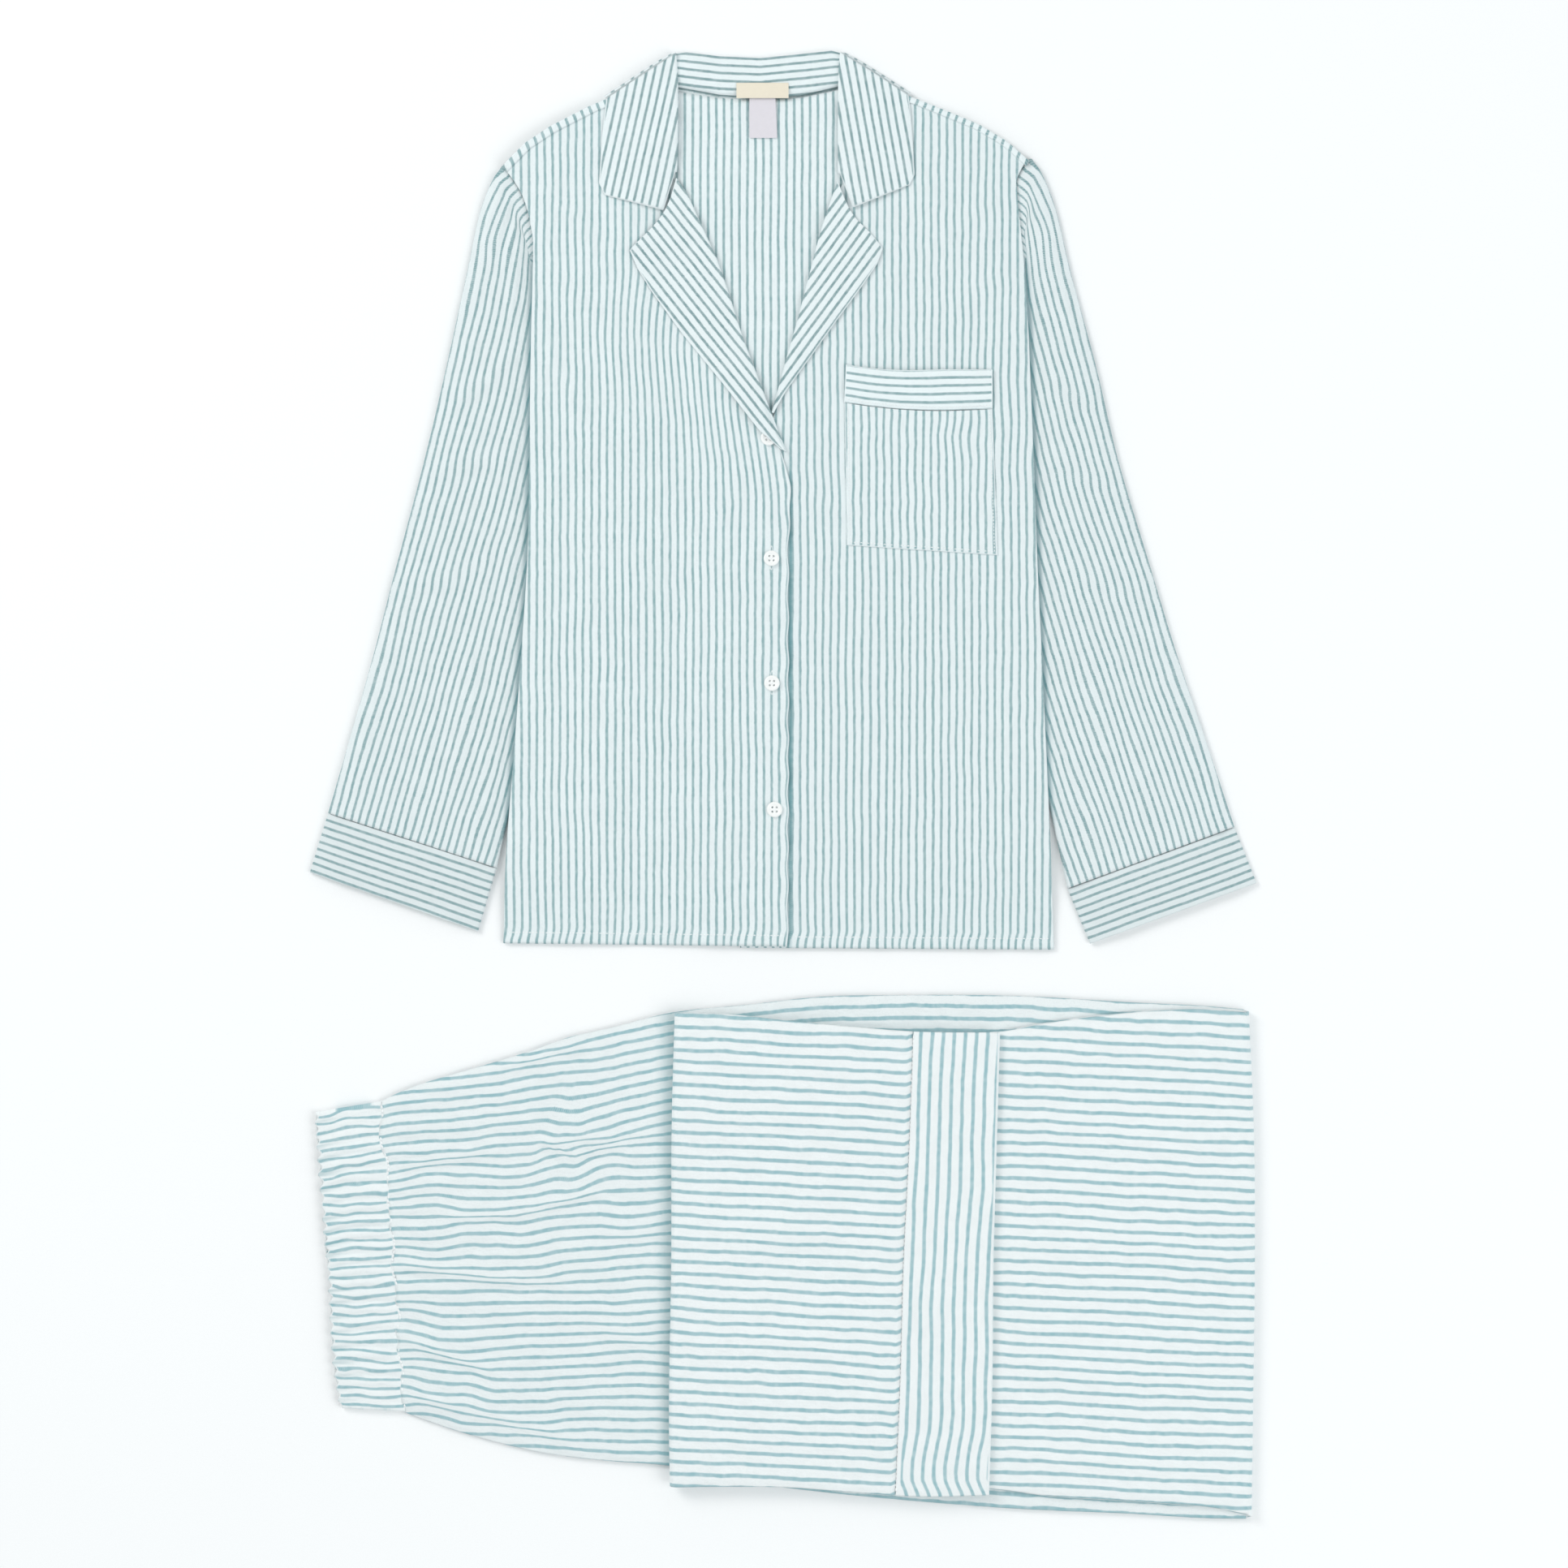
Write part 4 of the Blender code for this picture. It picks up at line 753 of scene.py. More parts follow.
# %% Collar
CollarStation = namedtuple("CollarStation", "seam roll middle edge stand_z fall_z outset")
COLLAR = rows_of(
    CollarStation,
    ((-99, 476), (-84.3, 474.4), (-93.4, 444.4), (-138.9, 456.1), 4.1, 6.2, 0),
    ((-104, 492), (-83.8, 492), (-108, 468), (-143.3, 465.5), 4.1, 7.4, 0),
    ((-104.6, 515), (-83.5, 520), (-110, 502), (-141.2, 500), 4.1, 7.2, 0),
    ((-102.4, 538), (-83.6, 548), (-110, 529), (-138.6, 523), 4.1, 6.8, 0),
    ((-101.6, 550.6), (-84.7, 565.6), (-110, 549), (-137.6, 530.6), 4.1, 6.2, 0),
    ((-101.6, 551.2), (-84.7, 566.2), (-110, 549.6), (-137.9, 531.2), 3.2, 3.3, 2.4),
    ((-100.6, 550.2), (-83.9, 565.6), (-108.8, 548.8), (-136.6, 530.4), 2.5, 0.5, 0),
    ((-83, 540.6), (-76, 566.4), (-94, 530), (-112, 492), 2.5, 0.5, 0),
    ((-50, 534.6), (-50, 563.2), (-53, 522), (-60, 480), 2.5, 0.5, 0),
    ((-19, 532.6), (-19, 561.8), (-19, 520), (-19, 476), 2.5, 0.5, 0),
    ((12, 534), (12, 564.8), (15, 522), (22, 480), 2.5, 0.5, 0),
    ((44, 541.4), (37, 567.6), (54, 530), (72, 492), 2.5, 0.5, 0),
    ((60.6, 550.4), (43.6, 566.2), (68.6, 550.4), (95.6, 533.2), 2.5, 0.5, 0),
    ((61.6, 551.4), (44.4, 566.8), (69.6, 551.2), (96.6, 534), 3.2, 3.3, 2.4),
    ((61.6, 550.8), (44.4, 566.2), (69.6, 550.6), (96.2, 533.4), 4.1, 6.2, 0),
    ((62.4, 538), (43.4, 548), (70, 531), (97.6, 525), 4.1, 6.8, 0),
    ((64.6, 515), (43.2, 520), (70, 503), (99.4, 502), 4.1, 7, 0),
    ((63.6, 492), (43.2, 492), (68, 470), (101.1, 472), 4.1, 7, 0),
    ((58.6, 476), (43.2, 473.4), (53.4, 446.4), (97.3, 464.3), 4.1, 6.2, 0),
)
COLLAR_STAND = np.linspace(0.0, 0.9, 9)
COLLAR_TURNS = np.linspace(0.12, 0.88, 6)
COLLAR_FALL = np.concatenate([np.linspace(0.06, 1.9, 30), [1.95, 1.98, 2.0]])
COLLAR_COLUMNS = len(COLLAR_STAND) + len(COLLAR_TURNS) + len(COLLAR_FALL)


def collar_rows():
    """Row places in station numbers: about one every 3 mm of the outer edge."""
    rows = []
    for number in range(len(COLLAR) - 1):
        steps = max(2, round(math.dist(COLLAR[number].edge, COLLAR[number + 1].edge) / 3.0))
        steps = max(steps, round(math.dist(COLLAR[number].roll, COLLAR[number + 1].roll) / 3.0))
        rows.extend(number + np.arange(steps) / steps)
    return np.array([*rows, len(COLLAR) - 1.0])


def collar_place(u, v):
    column = np.rint(u * (COLLAR_COLUMNS - 1)).astype(int)
    numbers = np.arange(len(COLLAR))

    def read(name, item=None):
        values = [getattr(station, name) if item is None else getattr(station, name)[item] for station in COLLAR]
        return np.interp(v, numbers, values)

    seam_x, seam_y, roll_x, roll_y = read("seam", 0), read("seam", 1), read("roll", 0), read("roll", 1)
    middle_x, middle_y, edge_x, edge_y = read("middle", 0), read("middle", 1), read("edge", 0), read("edge", 1)
    stand_z, fall_z, outset = read("stand_z"), read("fall_z"), read("outset")
    on_front = ramp(fall_z - stand_z, 0.6, 2.0)
    right_side = roll_x < -19.5
    stands, turns = len(COLLAR_STAND), len(COLLAR_TURNS)
    stand_share = COLLAR_STAND[np.clip(column, 0, stands - 1)]
    turn = COLLAR_TURNS[np.clip(column - stands, 0, turns - 1)] * math.pi
    fall_share = COLLAR_FALL[np.clip(column - stands - turns, 0, len(COLLAR_FALL) - 1)]
    is_stand, is_turn = column < stands, (column >= stands) & (column < stands + turns)

    stand_x, stand_y = seam_x + (roll_x - seam_x) * stand_share, seam_y + (roll_y - seam_y) * stand_share
    hump = 2.4 * np.sin(math.pi * np.clip(stand_share * 0.9 + 0.12, 0, 1)) * (1 - on_front)
    at_seam = (stand_z - 2.2) * ramp(stand_share, 0.28, 0.0) * (1 - on_front)
    stand_top = np.maximum(stand_z, on_front * (front_height(stand_x, stand_y) + LAYER)) + hump - at_seam

    first, second = np.clip(fall_share, 0, 1), np.clip(fall_share - 1, 0, 1)
    fall_x = roll_x + (middle_x - roll_x) * first + (edge_x - middle_x) * second
    fall_y = roll_y + (middle_y - roll_y) * first + (edge_y - middle_y) * second
    out_x = np.where(right_side, -0.55, 0.55) * outset * np.minimum(1, 0.5 + fall_share)
    fall_x, fall_y = fall_x + out_x, fall_y + 0.83 * outset * np.minimum(1, 0.5 + fall_share)
    belly = 1.3 * np.sin(math.pi * fall_share / 2) * on_front
    fall_top = np.maximum(fall_z, on_front * (front_height(fall_x, fall_y) + LAYER + 0.5)) + belly
    fall_top = fall_top - 0.4 * ramp(fall_share, 1.93, 2.0) * on_front

    reach = np.hypot(roll_x - seam_x, roll_y - seam_y)
    half = np.minimum(1.2, np.abs(fall_z - stand_z) / 2)
    turn_x = roll_x + (roll_x - seam_x) / reach * half * np.sin(turn)
    turn_y = roll_y + (roll_y - seam_y) / reach * half * np.sin(turn)
    turn_z = stand_z + 0.5 + (fall_z - stand_z) * (1 - np.cos(turn)) / 2

    x = np.where(is_stand, stand_x, np.where(is_turn, turn_x, fall_x))
    y = np.where(is_stand, stand_y, np.where(is_turn, turn_y, fall_y))
    z = np.where(is_stand, stand_top, np.where(is_turn, turn_z, fall_top))
    lean = np.where(right_side, -0.22, 0.18)
    on_fall = (x + lean * y) / np.hypot(1.0, lean)
    on_stand = np.where(is_stand, (stand_share - 1) * reach, 3.4 * turn / math.pi)
    on_stand = np.where(is_stand | is_turn, on_stand, 3.4 + 22.0 * fall_share) + 25.2
    across = np.where(on_front > 0.5, on_fall, on_stand)
    along = np.where(on_front > 0.5, y, x)
    edge_way = (2.0 - fall_share) * 0.5 * np.hypot(edge_x - middle_x, edge_y - middle_y) * 2
    edge = np.where(is_stand | is_turn, UNTRIMMED, edge_way)
    end = np.minimum(v, len(COLLAR) - 1 - v) * 14.0
    return x, y, z, across, along, np.minimum(edge, np.where(on_front > 0.5, end, UNTRIMMED))


collar = lay("collar_strip", np.linspace(0, 1, COLLAR_COLUMNS), collar_rows(), collar_place)
finish_piece(collar, shirt_cloth("collar_cloth", 0.3, 0.0003, ink=0.82), ["shirt_collar"])

# %% [markdown]
# ## The sleeves and cuffs
#
# A sleeve is a tube pressed flat, with its outer fold on the grain. It is eased into the armhole with small
# gathers at its head. Where the body lies on it, it is flat; outside it fills a little with air. The cuff is a
# separate band cut across the cloth, so its stripes go round the wrist.

# %% Sleeves
Station = namedtuple("Station", "outer_x outer_y inner_x inner_y bow bow_at head_z")
SLEEVE_RIGHT = rows_of(
    Station,
    (-219.8, 478.2, -196.4, 411.6, 7, 0.45, 5.7), (-223.6, 471.5, -197.6, 407.4, 5.6, 0.45, 4.4),
    (-232, 452, -183, 392, 4, 0.48, 3.4), (-245, 396, -168, 356, 1.5, 0.48, 3.2), (-262, 320, -160, 298, 0, 0.5, 3.2),
    (-280.5, 243, -169, 214, 0, 0.5, 3.2), (-300.5, 168, -182, 139, 0, 0.5, 3.2), (-320, 93, -195, 60, 0, 0.5, 3.2),
    (-338.5, 28, -209, -8, 0, 0.5, 3.2), (-353.4, -22.6, -222, -65.4, 0, 0.5, 3.2),
)
SLEEVE_LEFT = rows_of(
    Station,
    (193.6, 484, 187.4, 411, -9.5, 0.25, 5.7), (197.6, 477, 188.6, 406.4, -7, 0.25, 4.4),
    (206.5, 456, 173, 391, -4, 0.3, 3.4), (221, 398, 160, 356, -1.5, 0.4, 3.2), (240, 328, 154, 300, 0, 0.5, 3.2),
    (259, 249, 162, 217, 0, 0.5, 3.2), (280.5, 178, 174, 141, 0, 0.5, 3.2), (304, 101, 187, 62, 0, 0.5, 3.2),
    (327, 33, 203.5, -10, 0, 0.5, 3.2), (349, -33.3, 219, -81.3, 0, 0.5, 3.2),
)
CUFF_RIGHT = rows_of(
    Station,
    (-353.52, -22.98, -222.12, -65.78, 0, 0.5, 3.3), (-360.9, -47, -229.6, -91, 0, 0.5, 3.5),
    (-367.6, -68.7, -236.6, -114.7, 0, 0.5, 3.3),
)
CUFF_LEFT = rows_of(
    Station,
    (349.14, -33.68, 219.14, -81.68, 0, 0.5, 3.3), (358, -56, 228, -103.4, 0, 0.5, 3.5),
    (366.3, -76.9, 236.6, -124.1, 0, 0.5, 3.3),
)
SLEEVE_CREASES = rows_of(
    Crease,
    (-216, 466, -236, 425, 2.4, 1.2), (-210, 458, -228, 405, 2.6, 1.3), (-205, 448, -216, 398, 2.4, 1.2),
    (-222, 470, -240, 440, 2, 0.9), (-203, 430, -212, 360, 3.4, 1.1), (-230, 430, -250, 350, 4, 1),
    (-212, 330, -262, 296, 6, 1.2, 5), (-208, 250, -276, 236, 7, 1.1, -5), (-222, 180, -296, 150, 7, 1, 6),
    (-240, 110, -262, -20, 8, 1.5, 5), (-300, 130, -330, 0, 8, 1.4, -5), (-270, 60, -292, -40, 5, 1, 3),
    (-226, 40, -240, -50, 5, 1), (192, 470, 208, 432, 2.2, 1.2), (189, 460, 201, 408, 2.4, 1.2),
    (187, 446, 196, 392, 2.4, 1.1), (196, 474, 214, 446, 2, 0.9), (205, 430, 226, 350, 4, 1),
    (192, 400, 204, 340, 3.4, 0.9), (204, 320, 246, 290, 6, 1.1, -5), (204, 240, 262, 222, 7, 1.1, 5),
    (216, 170, 282, 146, 7, 1, -6), (236, 110, 262, -30, 8, 1.5, -5), (290, 120, 322, -10, 8, 1.4, 5),
    (268, 50, 292, -50, 5, 1, -3), (222, 30, 240, -66, 5, 1),
)
TUBE_UPPER = np.concatenate([[0.012, 0.022, 0.035], np.linspace(0.05, 0.98, 44)])
TUBE_LOWER = np.linspace(0.98, 0.012, 20)


def flat_tube(upper, lower):
    """The columns of a pressed tube, over its upper layer, round a fold, back under and round: for each its share
    of the width, how far down it is from 0 to 1, and how far past the layers' ends."""
    turns = np.linspace(0, math.pi, 9)[1:-1]
    over, under, round_fold = np.zeros(len(upper)), np.ones(len(lower)), np.ones(len(turns))
    share = np.concatenate([upper, round_fold * upper[-1], lower, round_fold * upper[0], upper[:1]])
    down = np.concatenate([over, (1 - np.cos(turns)) / 2, under, (1 + np.cos(turns)) / 2, [0]])
    past = np.concatenate([over, np.sin(turns), 0 * under, -np.sin(turns), [0]])
    return share, down, past


TUBE_SHARE, TUBE_DOWN, TUBE_PAST = flat_tube(TUBE_UPPER, TUBE_LOWER)
TUBE_COLUMNS = np.arange(len(TUBE_SHARE))


def tube_place(stations, puff, cuff=False):
    def place(u, v):
        spot = u.astype(int)
        share, down, past = TUBE_SHARE[spot], TUBE_DOWN[spot], TUBE_PAST[spot]
        keys = row_keys(stations)
        length = keys[-1]
        keys = keys / length
        outer_x, outer_y, inner_x, inner_y, bow, peak, head = (
            curve(keys, [station[item] for station in stations], v) for item in range(7)
        )
        wide = np.hypot(inner_x - outer_x, inner_y - outer_y)
        way_x, way_y = (inner_x - outer_x) / wide, (inner_y - outer_y) / wide
        bow_x, bow_y = np.abs(way_y) * bow, np.where(bow > 0, -way_x, way_x) * np.sign(way_y) * np.abs(bow)
        risen = np.where(share < peak, share / peak, (1 - share) / (1 - peak))
        bend = np.sin(math.pi / 2 * np.clip(risen, 0, 1))
        x = outer_x + way_x * (share * wide + past * 1.6) + bow_x * bend
        y = outer_y + way_y * (share * wide + past * 1.6) + bow_y * bend
        outside = np.clip(-inset(x, np.clip(y, -123, 476)), 0, 400)
        free = ramp(outside, 1, 16) if not cuff else ramp(share, 0.02, 0.2) * ramp(share, 0.99, 0.8)
        round_edge = ramp(share * wide, -2, 14)
        at_head = ramp(head, 3.5, 5.7)
        air = puff * free * (0.35 + 0.65 * round_edge)
        wrinkle = free * (creased(SLEEVE_CREASES, x, y) + 1.6 * swell(x, y, 26, 110, 31) + 0.4 * swell(x, y, 9, 16, 33))
        resting = head + (2.9 - head) * ramp(share, 0.3, 0.7) * (0.0 if cuff else 1.0) * (1 - 0.75 * at_head)
        upper = resting + (1 - 0.7 * at_head) * (air + round_edge * wrinkle * (0.35 if cuff else 1.0))
        upper = upper - 0.9 * ramp(share * wide, 7, 0) * (1 - at_head)
        if not cuff:
            tuck = ramp(v, 0.014, 0.002) * (1 - down)
            x = x - np.sign(outer_x) * 3.4 * tuck
            upper = upper - 1.2 * tuck
        z = upper + (LOWEST - upper) * down
        around = share * wide + past
        if cuff:
            return x, y, z, v * length, around, np.minimum(v, 1 - v) * length + 0.4
        pull = tucked(SLEEVE_CREASES, x, y, 0.9) * free * (1 - down) * np.sign(outer_x)
        # Painted shadow: where the sleeve goes under the body's side its colour turns towards deep teal, standing in
        # for the shade of the body's edge.
        painted_shade = 0.6 * ramp(outside, 5.5, 0.6) * ramp(y, 440, 380) * ramp(y, -125, -90)
        return x, y, z, np.where(down > 0.5, -around, around + pull), v * length, UNTRIMMED, painted_shade

    return place


sleeve_rows = np.concatenate([np.linspace(0, 0.12, 26), np.linspace(0.12, 0.985, 112)[1:], [0.99, 0.995, 1.0]])
for name, stations, slot, node in (
    ("sleeve_right", SLEEVE_RIGHT, "right_sleeve_cotton", "shirt_sleeve_right"),
    ("sleeve_left", SLEEVE_LEFT, "left_sleeve_cotton", "shirt_sleeve_left"),
):
    sleeve = lay(name, TUBE_COLUMNS, sleeve_rows, tube_place(stations, 1.6), closed=True)
    finish_piece(sleeve, shirt_cloth(name + "_cloth", 0.45, 0.0006, tone=0.95), [node])
for name, stations, slot, node in (
    ("cuff_right", CUFF_RIGHT, "right_cuff_cotton", "shirt_cuff_right"),
    ("cuff_left", CUFF_LEFT, "left_cuff_cotton", "shirt_cuff_left"),
):
    cuff = lay(name, TUBE_COLUMNS, crowded(24, (0, 0.02, 0.05)), tube_place(stations, 1.2, True), closed=True)
    finish_piece(cuff, shirt_cloth(name + "_cloth", 0.64, 0.0004, tone=0.9), [node])

# %% [markdown]
# ## Pocket and labels
#
# A patch pocket sits on the left chest. Its body matches the front's stripes and its band is cut across them. The
# mouth hangs a little, which opens a thin shadow above it. The two labels are bare tapes: the cream one is sewn
# into the neck seam by its ends, and the white one hangs below it.

# %% Pocket, band and labels
POCKET_SPANS = rows_of(
    Span,
    (48.8, 185.2, 165.4, 177.3), (48.4, 214, 164.5, 206), (47.8, 243, 163.4, 235), (47.3, 270, 162.3, 263),
    (46.9, 295.6, 161.3, 290.4),
)
POCKET_BAND_SPANS = rows_of(
    Span,
    (46.6, 296, 161.5, 290.8), (47.3, 310, 161.5, 306), (47.9, 325.1, 161.3, 320.9),
)


def pocket_place(u, v):
    x, y = spanned(POCKET_SPANS, u, v)
    y = y - 3.6 * 4 * u * (1 - u) * v
    rim = np.minimum(np.minimum(u, 1 - u) * 116, v * 115)
    pull = creased([Crease(138, 292, 146, 262, 6.0, 1.0), Crease(70, 282, 62, 215, 7.0, 0.8)], x, y)
    z = front_height(x, y) + 1.4 + 0.9 * ramp(rim, 0, 16) + pull * ramp(rim, 0, 10) - 0.5 * ramp(rim, 1.2, 0)
    kink = 2.2 * np.exp(-(((x - 135) / 16) ** 2) - (((y - 268) / 9) ** 2))
    return x, y, z, x + kink, y, rim + 0.2


def band_place(u, v):
    x, y = spanned(POCKET_BAND_SPANS, u, v)
    sag = 4 * u * (1 - u)
    y = y - 3.6 * sag + 1.2 * v * sag - 1.4 * v * np.sin(u * math.pi * 2) * 0.6
    rim = np.minimum(u, 1 - u) * 115
    z = front_height(x, y) + 1.5 + 1.0 * ramp(v, 0, 0.3) + 1.4 * sag * v - 0.5 * ramp(np.minimum(v, 1 - v) * 30, 1.2, 0)
    return x, y, z, v * 30.2, x, np.minimum(rim, np.minimum(v, 1 - v) * 30) + 0.2


pocket = lay("pocket_body", crowded(44), crowded(42), pocket_place)
finish_piece(pocket, shirt_cloth("pocket_cloth", 0.62, 0.001, tone=0.98, ink=1.05), ["shirt_pocket"])
band = lay("pocket_top_band", crowded(44), crowded(16, (0, 0.03, 0.07)), band_place)
pocket_band_cloth = shirt_cloth("pocket_band_cloth", 0.5, 0.0004, tone=1.02, ink=0.92)
finish_piece(band, pocket_band_cloth, ["shirt_pocket_band"])


def tape_finish(name, colour, ribs):
    """A woven tape: fine ribs across it and a faint mottle, and nothing printed."""
    finish = Finish(name)
    grain = finish.node("ShaderNodeSeparateXYZ", Vector=finish.node("ShaderNodeUVMap", {"uv_map": "grain"}))
    along = Socket(finish.tree, grain.output.node.outputs[1])
    rib = (along * ribs).maths("SINE") * (grain * 5200.0).maths("SINE")
    cloudy = finish.noise(finish.node("ShaderNodeTexCoord", output=3), 260.0, 3.0)
    darker = toned(colour, 0.94)
    finish.feed("Base Color", finish.blend(cloudy, colour, darker))
    finish.feed("Roughness", cloudy * 0.15 + 0.5)
    finish.feed("Specular IOR Level", 0.4)
    height = rib * 0.00004 + cloudy * 0.0002
    finish.feed("Normal", finish.node("ShaderNodeBump", Strength=0.6, Distance=1.0, Height=height))
    return finish.material


def neck_label_place(u, v):
    x, y = -36.9 + 40.4 * u, 531.6 + 11.8 * v
    z = 5.6 + 0.5 * np.sin(math.pi * u) + 0.3 * np.sin(math.pi * v)
    return x, y, z, x, y, UNTRIMMED


def care_label_place(u, v):
    x, y = -26.8 + (21.4 - 1.4 * v) * u, 500.9 + 32.3 * v
    return x, y, back_height(x, y) + 2.1 + 0.5 * np.sin(math.pi * v) + 0.3 * (1 - v) * u, x, y, UNTRIMMED


neck_label = lay("neck_tape", crowded(20), crowded(12), neck_label_place, wall=0.4)
finish_piece(neck_label, tape_finish("cream_label", linear(242, 232, 212), 7400.0), ["shirt_neck_label"])
care_label = lay("care_tape", crowded(16), crowded(20), care_label_place, wall=0.3)
finish_piece(care_label, tape_finish("white_label", linear(229, 224, 230), 9000.0), ["shirt_care_label"])

# %% [markdown]
# ## Buttons and buttonholes
#
# Each button is turned from resin: a disc with a rounded rim, a dished middle and four holes, sewn on by crossed
# threads. One is modelled and copied to its four places. A worked buttonhole, a narrow ring of close stitches, is
# added with the other stitches below; the first button's is left out, since the end of the lapel hides it.

# %% Buttons
BUTTON_PLACES = [(-12.0, 268.4), (-9.8, 174.9), (-9.4, 78.1), (-7.4, -19.8)]
BUTTON_PROFILE = [  # radius and height, from the middle of the top round the rim to the middle of the underside
    (0.001, 1.30), (2.6, 1.32), (3.3, 1.45), (3.9, 1.86), (4.5, 2.06), (5.2, 2.02), (5.8, 1.66), (6.08, 1.15),
    (5.9, 0.62), (5.2, 0.22), (3.0, 0.06), (0.001, 0.0),
]
HOLE_REACH = 1.6  # how far each hole lies from the button's two middle lines


def turned(name, profile, steps=48):
    """Turns a profile about Z with the Screw modifier and applies it."""
    bpy.ops.object.select_all(action="DESELECT")
    bpy.ops.mesh.primitive_plane_add(size=0.01, location=(0, 0, 0))
    made = bpy.context.object
    made.name = name
    bm = bmesh.new()
    points = [bm.verts.new((radius * MILLIMETRE, 0.0, height * MILLIMETRE)) for radius, height in profile]
    for first, second in zip(points, points[1:]):
        bm.edges.new((first, second))
    bm.to_mesh(made.data)
    bm.free()
    screw = made.modifiers.new("Turn", "SCREW")
    screw.steps = steps
    screw.render_steps = steps
    screw.use_merge_vertices = True
    screw.merge_threshold = 0.00001
    bpy.ops.object.modifier_apply(modifier=screw.name)
    bpy.ops.object.mode_set(mode="EDIT")
    bpy.ops.mesh.select_all(action="SELECT")
    bpy.ops.mesh.normals_make_consistent(inside=False)
    bpy.ops.object.mode_set(mode="OBJECT")
    return made


button = turned("button_form", BUTTON_PROFILE)
for side_x in (-HOLE_REACH, HOLE_REACH):
    for side_y in (-HOLE_REACH, HOLE_REACH):
        bpy.ops.object.select_all(action="DESELECT")
        bpy.ops.mesh.primitive_cylinder_add(
            vertices=14, radius=0.0008, depth=0.008, location=(side_x * MILLIMETRE, side_y * MILLIMETRE, 0.001)
        )
        peg = bpy.context.object
        hole = button.modifiers.new("Hole", "BOOLEAN")
        hole.operation = "DIFFERENCE"
        hole.solver = "EXACT"
        hole.object = peg
        bpy.ops.object.select_all(action="DESELECT")
        button.select_set(True)
        bpy.context.view_layer.objects.active = button
        bpy.ops.object.modifier_apply(modifier=hole.name)
        bpy.data.objects.remove(peg)
bpy.ops.object.shade_smooth_by_angle(angle=math.radians(40))

resin = plain_finish("pearl_resin", linear(253, 253, 251), 0.22)
thread_finish = plain_finish("white_thread", linear(252, 254, 254), 0.75, 0.2)
for number, (x, y) in enumerate(BUTTON_PLACES, start=1):
    spot = np.array([x]), np.array([y])
    rest = float(buttoned_height(*spot)[0]) + 0.75
    made = bpy.data.objects.new(f"button_{number}", button.data.copy())
    bpy.context.scene.collection.objects.link(made)
    place = Vector((x - TABLES_MIDDLE[0], y - TABLES_MIDDLE[1], rest)) * MILLIMETRE
    turn = Vector((0, 0, 1)).rotation_difference(Vector((0.03 * (-1) ** number, 0.04, 1)))
    for vertex in made.data.vertices:
        vertex.co = turn @ vertex.co + place
    finish_piece(made, resin, [f"shirt_button_{number}"])
    bpy.ops.object.select_all(action="DESELECT")
    for way in (-1, 1):
        bpy.ops.mesh.primitive_cylinder_add(
            vertices=8, radius=0.00028, depth=0.0043, location=place + Vector((0, 0, 0.00135)),
            rotation=(math.pi / 2, 0, way * math.pi / 4),
        )
        bpy.context.object.select_set(True)
        if way == -1:
            first = bpy.context.object
    first.select_set(True)
    bpy.context.view_layer.objects.active = first
    bpy.ops.object.join()
    bpy.ops.object.transform_apply(location=True, rotation=True, scale=True)
    first.name = f"button_thread_{number}"
    first.data.polygons.foreach_set("use_smooth", [True] * len(first.data.polygons))
    finish_piece(first, thread_finish, [])
bpy.data.objects.remove(button)

# %% [markdown]
# ## Rows of stitches
#
# Seams show as rows of small dashes, each pulled a little into the cloth. One stitch is modelled as a short
# rounded bar and copied along a line, every 2.6 mm unless the row says otherwise; a row of them is one piece.


# %% Stitches
def stitch_form():
    bpy.ops.object.select_all(action="DESELECT")
    bpy.ops.mesh.primitive_uv_sphere_add(segments=6, ring_count=4, radius=0.5, location=(0, 0, 0))
    form = bpy.context.object
    points = np.array([vertex.co[:] for vertex in form.data.vertices])
    faces = [tuple(face.vertices) for face in form.data.polygons]
    bpy.data.objects.remove(form)
    return points, faces


STITCH_POINTS, STITCH_FACES = stitch_form()


def stitch_row(name, line, height, pitch=2.6, length=2.0, width=0.8, lift=0.45):
    """Stitches along a line of plan points, standing on a height function."""
    line = np.array(line, float)
    run = np.concatenate([[0.0], np.cumsum(np.hypot(*np.diff(line, axis=0).T))])
    marks = np.arange(pitch / 2, run[-1], pitch)
    x, y = np.interp(marks, run, line[:, 0]), np.interp(marks, run, line[:, 1])
    ahead_x, ahead_y = np.interp(marks + 0.6, run, line[:, 0]), np.interp(marks + 0.6, run, line[:, 1])
    way = np.arctan2(ahead_y - y, ahead_x - x)
    z = height(x, y) + lift
    slope = (height(x + np.cos(way), y + np.sin(way)) - height(x - np.cos(way), y - np.sin(way))) / 2
    points, faces = [], []
    for i in range(len(marks)):
        local = STITCH_POINTS * (length, width, width * 0.8)
        px = x[i] + local[:, 0] * math.cos(way[i]) - local[:, 1] * math.sin(way[i])
        py = y[i] + local[:, 0] * math.sin(way[i]) + local[:, 1] * math.cos(way[i])
        pz = z[i] + local[:, 2] + local[:, 0] * float(np.clip(slope[i], -1, 1))
        start = len(points) * len(STITCH_POINTS)
        points.append(np.stack([px - TABLES_MIDDLE[0], py - TABLES_MIDDLE[1], pz], axis=1) * MILLIMETRE)
        faces.extend(tuple(start + corner for corner in face) for face in STITCH_FACES)
    mesh = bpy.data.meshes.new(name)
    mesh.from_pydata(np.concatenate(points).tolist(), [], faces)
    mesh.polygons.foreach_set("use_smooth", [True] * len(mesh.polygons))
    row = bpy.data.objects.new(name, mesh)
    bpy.context.scene.collection.objects.link(row)
    finish_piece(row, thread_finish, [])


